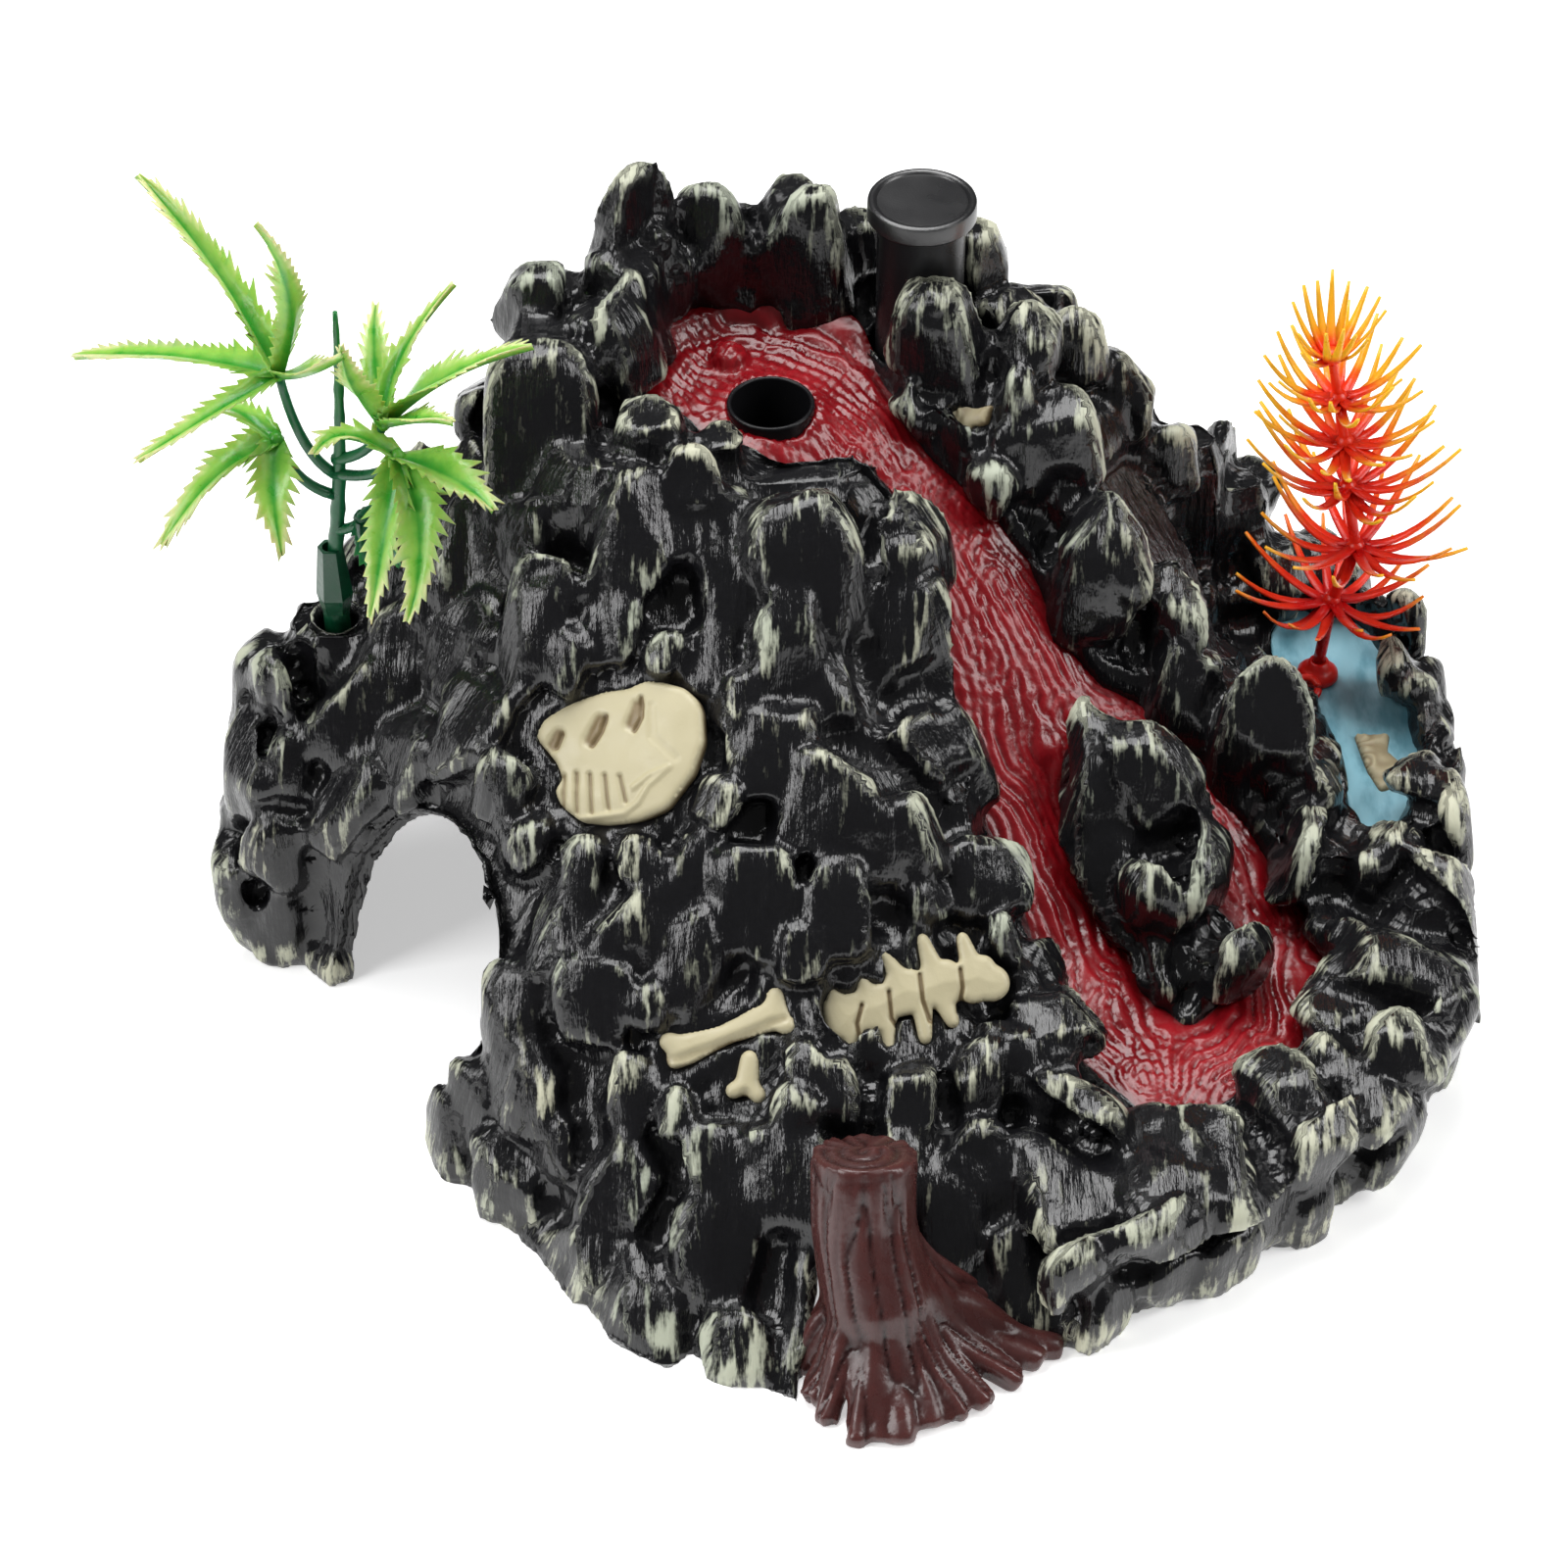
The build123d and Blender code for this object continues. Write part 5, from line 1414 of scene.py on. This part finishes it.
def palm_pieces():
    """Leaf clusters and the stem that carries them."""
    for number, (hub, leaves) in enumerate(PALM_LEAVES, 1):
        parts = [leaf(hub, *blade) for blade in leaves]
        knot = np.array(hub, float)
        parts.append(rod([knot - [0, 0, 1.6], knot, knot + [0, 0, 1.6]], [1.0, 1.9, 0.9], 10, 0.15))
        points, faces, tint = joined(parts)
        material = PALM_STEM if number == len(PALM_LEAVES) else PALM_LEAF
        add_piece(f"palm_fronds_{number}", points, faces, "palm", material,
                  [f"palm_leaf_{number}"], {"tint": tint})
    spine = np.array([on_palm_stem(z) for z in np.linspace(PALM_STEM_LOW[2], PALM_TOP[2], 30)])
    share = np.linspace(0, 1, len(spine))
    spine[:, 0] += 1.2 * np.sin(share * math.pi)
    collars = 0.25 * np.exp(-((share * 9 % 1 - 0.5) / 0.12) ** 2)
    points, faces = tube(spine, 1.75 - 1.2 * share ** 1.5 + collars, 14)
    parts = [(points, faces, 0.2 + 0.6 * share.repeat(14))]
    for height, (hub, _) in zip(PALM_BRANCHES, PALM_LEAVES):
        start, end = on_palm_stem(height), np.array(hub, float)
        control = start + (end - start) * [0.75, 0.75, 0.25]
        path = bezier(start, control, end, 10)
        parts.append(rod(path, np.linspace(1.35, 1.0, 10), 10, 0.45))
    points, faces, tint = joined(parts)
    add_piece("palm_stalk", points, faces, "palm", PALM_STEM, ["palm_stem"], {"tint": tint})


palm_pieces()
dress("palm_plug", PALM_STEM)


# ---------------------------------------------------------------- fern
FERN_BLADES = 16
FERN_WHORL_COUNT = 6
BLADE_WIDTH, BLADE_THICK = 2.5, 0.55


def blade(start, end, bend, width):
    """One narrow curved blade: points, faces and its tint, 0 at the hub and 1 at the tip."""
    middle = (start + end) / 2 + bend
    spine = bezier(start, 2 * middle - (start + end) / 2, end, 9)
    along = unit(np.gradient(spine, axis=0))
    side = unit(np.cross(along, UP + 0.01))
    rise = np.cross(side, along)
    t = np.linspace(0, 1, len(spine))
    half = width / 2 * (1 - 0.75 * t ** 1.6)
    columns = [spine + sign * side * half[:, None] + rise * 0.15 * abs(sign) for sign in (-1, 0, 1)]
    top = np.stack(columns, axis=1)
    points, faces = slab(top, top - rise[:, None] * BLADE_THICK)
    tint = t.repeat(3)
    return points, faces, np.concatenate([tint, tint])


def fern_pieces():
    """Whorls of red blades with yellow tips, on a jointed stem."""
    centres = []
    for number in range(1, FERN_WHORL_COUNT + 1):
        node = f"fern_whorl_{number}"
        low, high = box_mm(node)
        centre = np.append(axis_mm(node), low[2] + 1.5)
        centres.append(centre)
        length, rise = radius_mm(node), high[2] - centre[2]
        share = (number - 1) / (FERN_WHORL_COUNT - 1)
        parts = []
        for k in range(FERN_BLADES):
            turn = 2 * math.pi * (k + 0.35 * (number % 2)) / FERN_BLADES
            turn = turn + RANDOM.uniform(-0.10, 0.10)
            reach = length * RANDOM.uniform(0.80, 1.0)
            outward = np.array([math.cos(turn), math.sin(turn), 0])
            lift = rise * RANDOM.uniform(0.35, 1.0)
            start = centre + outward * 1.6 + [0, 0, RANDOM.uniform(-0.8, 0.8)]
            end = centre + outward * reach + [0, 0, lift]
            bend = np.array([0, 0, -RANDOM.uniform(0.08, 0.24) * length])
            points, faces, tint = blade(start, end, bend, BLADE_WIDTH)
            tint = np.clip(tint * (0.75 + 0.35 * share) + 0.35 * share - 0.02, 0, 1)
            parts.append((points, faces, tint))
        ends = [centre - [0, 0, 1.8], centre, centre + [0, 0, 1.8]]
        parts.append(rod(ends, [1.4, 2.4, 1.4], 12, 0.2 + 0.3 * share))
        points, faces, tint = joined(parts)
        add_piece(f"fern_blades_{number}", points, faces, "fern", FERN, [node], {"tint": tint})
    foot = np.append(axis_mm("fern_foot"), box_mm("fern_foot")[1][2] + 0.3)
    path = [np.linspace(a, b, 8)[:-1] for a, b in zip([foot] + centres, centres)]
    path = np.concatenate(path + [centres[-1:]])
    share = np.linspace(0, 1, len(path))
    points, faces = tube(path, 1.45 - 0.4 * share, 12)
    tint = 0.1 + 0.4 * share.repeat(12)
    add_piece("fern_stalk", points, faces, "fern", FERN, ["fern_stem"], {"tint": tint})


def fern_foot_piece():
    """Foot of the fern: peg, rounded collar and a small ring eye."""
    low, high = box_mm("fern_foot")
    middle = (low + high) / 2
    top, seat = high[2], high[2] - 5.0
    profile = [(AXIS, low[2]), (2.3, low[2]), (2.5, low[2] + 0.3), (2.5, seat), (4.6, seat),
               (5.0, seat + 0.5), (4.8, seat + 1.8), (3.6, seat + 3.0), (2.6, seat + 3.6), (2.3, top),
               (1.36, top), (1.36, top - 3.5), (AXIS, top - 3.6)]
    points, faces = lathe(profile, middle, 48)
    parts = [(points, faces.tolist(), np.full(len(points), 0.12))]
    turns = np.linspace(0.15, 2 * math.pi - 0.15, 40)
    eye = np.array([middle[0] - 3.4, middle[1] - 6.2, seat + 1.6])
    loop = eye + np.stack([np.cos(turns) * 2.9, np.sin(turns) * 2.9, np.sin(turns) * 0.8], 1)
    parts.append(rod(loop, np.full(40, 1.0), 10, 0.15))
    points, faces, tint = joined(parts)
    add_piece("fern_base_ring", points, faces, "fern_base", FERN, ["fern_foot"], {"tint": tint})


fern_pieces()
fern_foot_piece()


# ---------------------------------------------------------------- stage
CAMERA_AT = (0, -0.6582, 0.6838)
CAMERA_TILT = 47  # degrees up from straight down
CAMERA_LENS = 93.15
FLOOR_HALF = 3.0
LIGHT_TARGET = (0, 0, 0.05)
# Name, place, size and power of each light.
LIGHTS = [
    ("top_softbox", (-0.1, 0.35, 1.15), (0.9, 0.7), 14),
    ("left_softbox", (-0.95, -0.35, 0.75), (0.5, 0.9), 9),
    ("right_softbox", (0.95, -0.1, 0.8), (0.4, 0.8), 7),
]


def add_light(name, place, size, power):
    """Rectangular soft light."""
    data = bpy.data.lights.new(name, "AREA")
    data.shape = "RECTANGLE"
    data.size, data.size_y = size
    data.energy = power
    light = bpy.data.objects.new(name, data)
    bpy.context.scene.collection.objects.link(light)
    light.location = place
    light.rotation_euler = (Vector(LIGHT_TARGET) - Vector(place)).to_track_quat("-Z", "Y").to_euler()


def add_stage():
    """Pale floor, soft lights and the camera."""
    material, shader = new_material("pale_floor", Roughness=0.9)
    shade = noise_of(material, coordinates(material), 3.0, 1.0)
    colour = mix_of(material, shade, rgb(0.93, 0.93, 0.93), rgb(0.95, 0.95, 0.95))
    material.node_tree.links.new(colour, shader.inputs["Base Color"])
    shader.inputs["Emission Color"].default_value = rgb(1, 1, 1)
    shader.inputs["Emission Strength"].default_value = 0.50
    mesh = bpy.data.meshes.new("floor")
    half = FLOOR_HALF
    corners = [(-half, -half, 0), (half, -half, 0), (half, half, 0), (-half, half, 0)]
    mesh.from_pydata(corners, [], [(0, 1, 2, 3)])
    mesh.materials.append(material)
    floor = bpy.data.objects.new("floor", mesh)
    bpy.context.scene.collection.objects.link(floor)
    world = bpy.data.worlds.new("studio")
    world.use_nodes = True
    world.node_tree.nodes["Background"].inputs["Color"].default_value = rgb(1, 1, 1)
    world.node_tree.nodes["Background"].inputs["Strength"].default_value = 0.10
    bpy.context.scene.world = world
    for light in LIGHTS:
        add_light(*light)
    camera = bpy.data.objects.new("camera", bpy.data.cameras.new("camera"))
    camera.data.lens = CAMERA_LENS
    camera.location = CAMERA_AT
    camera.rotation_euler = (math.radians(CAMERA_TILT), 0, 0)
    camera.data.clip_start = 0.01
    bpy.context.scene.collection.objects.link(camera)
    bpy.context.scene.camera = camera
    bpy.context.scene.view_settings.view_transform = "Standard"


add_stage()

bpy.context.view_layer.update()
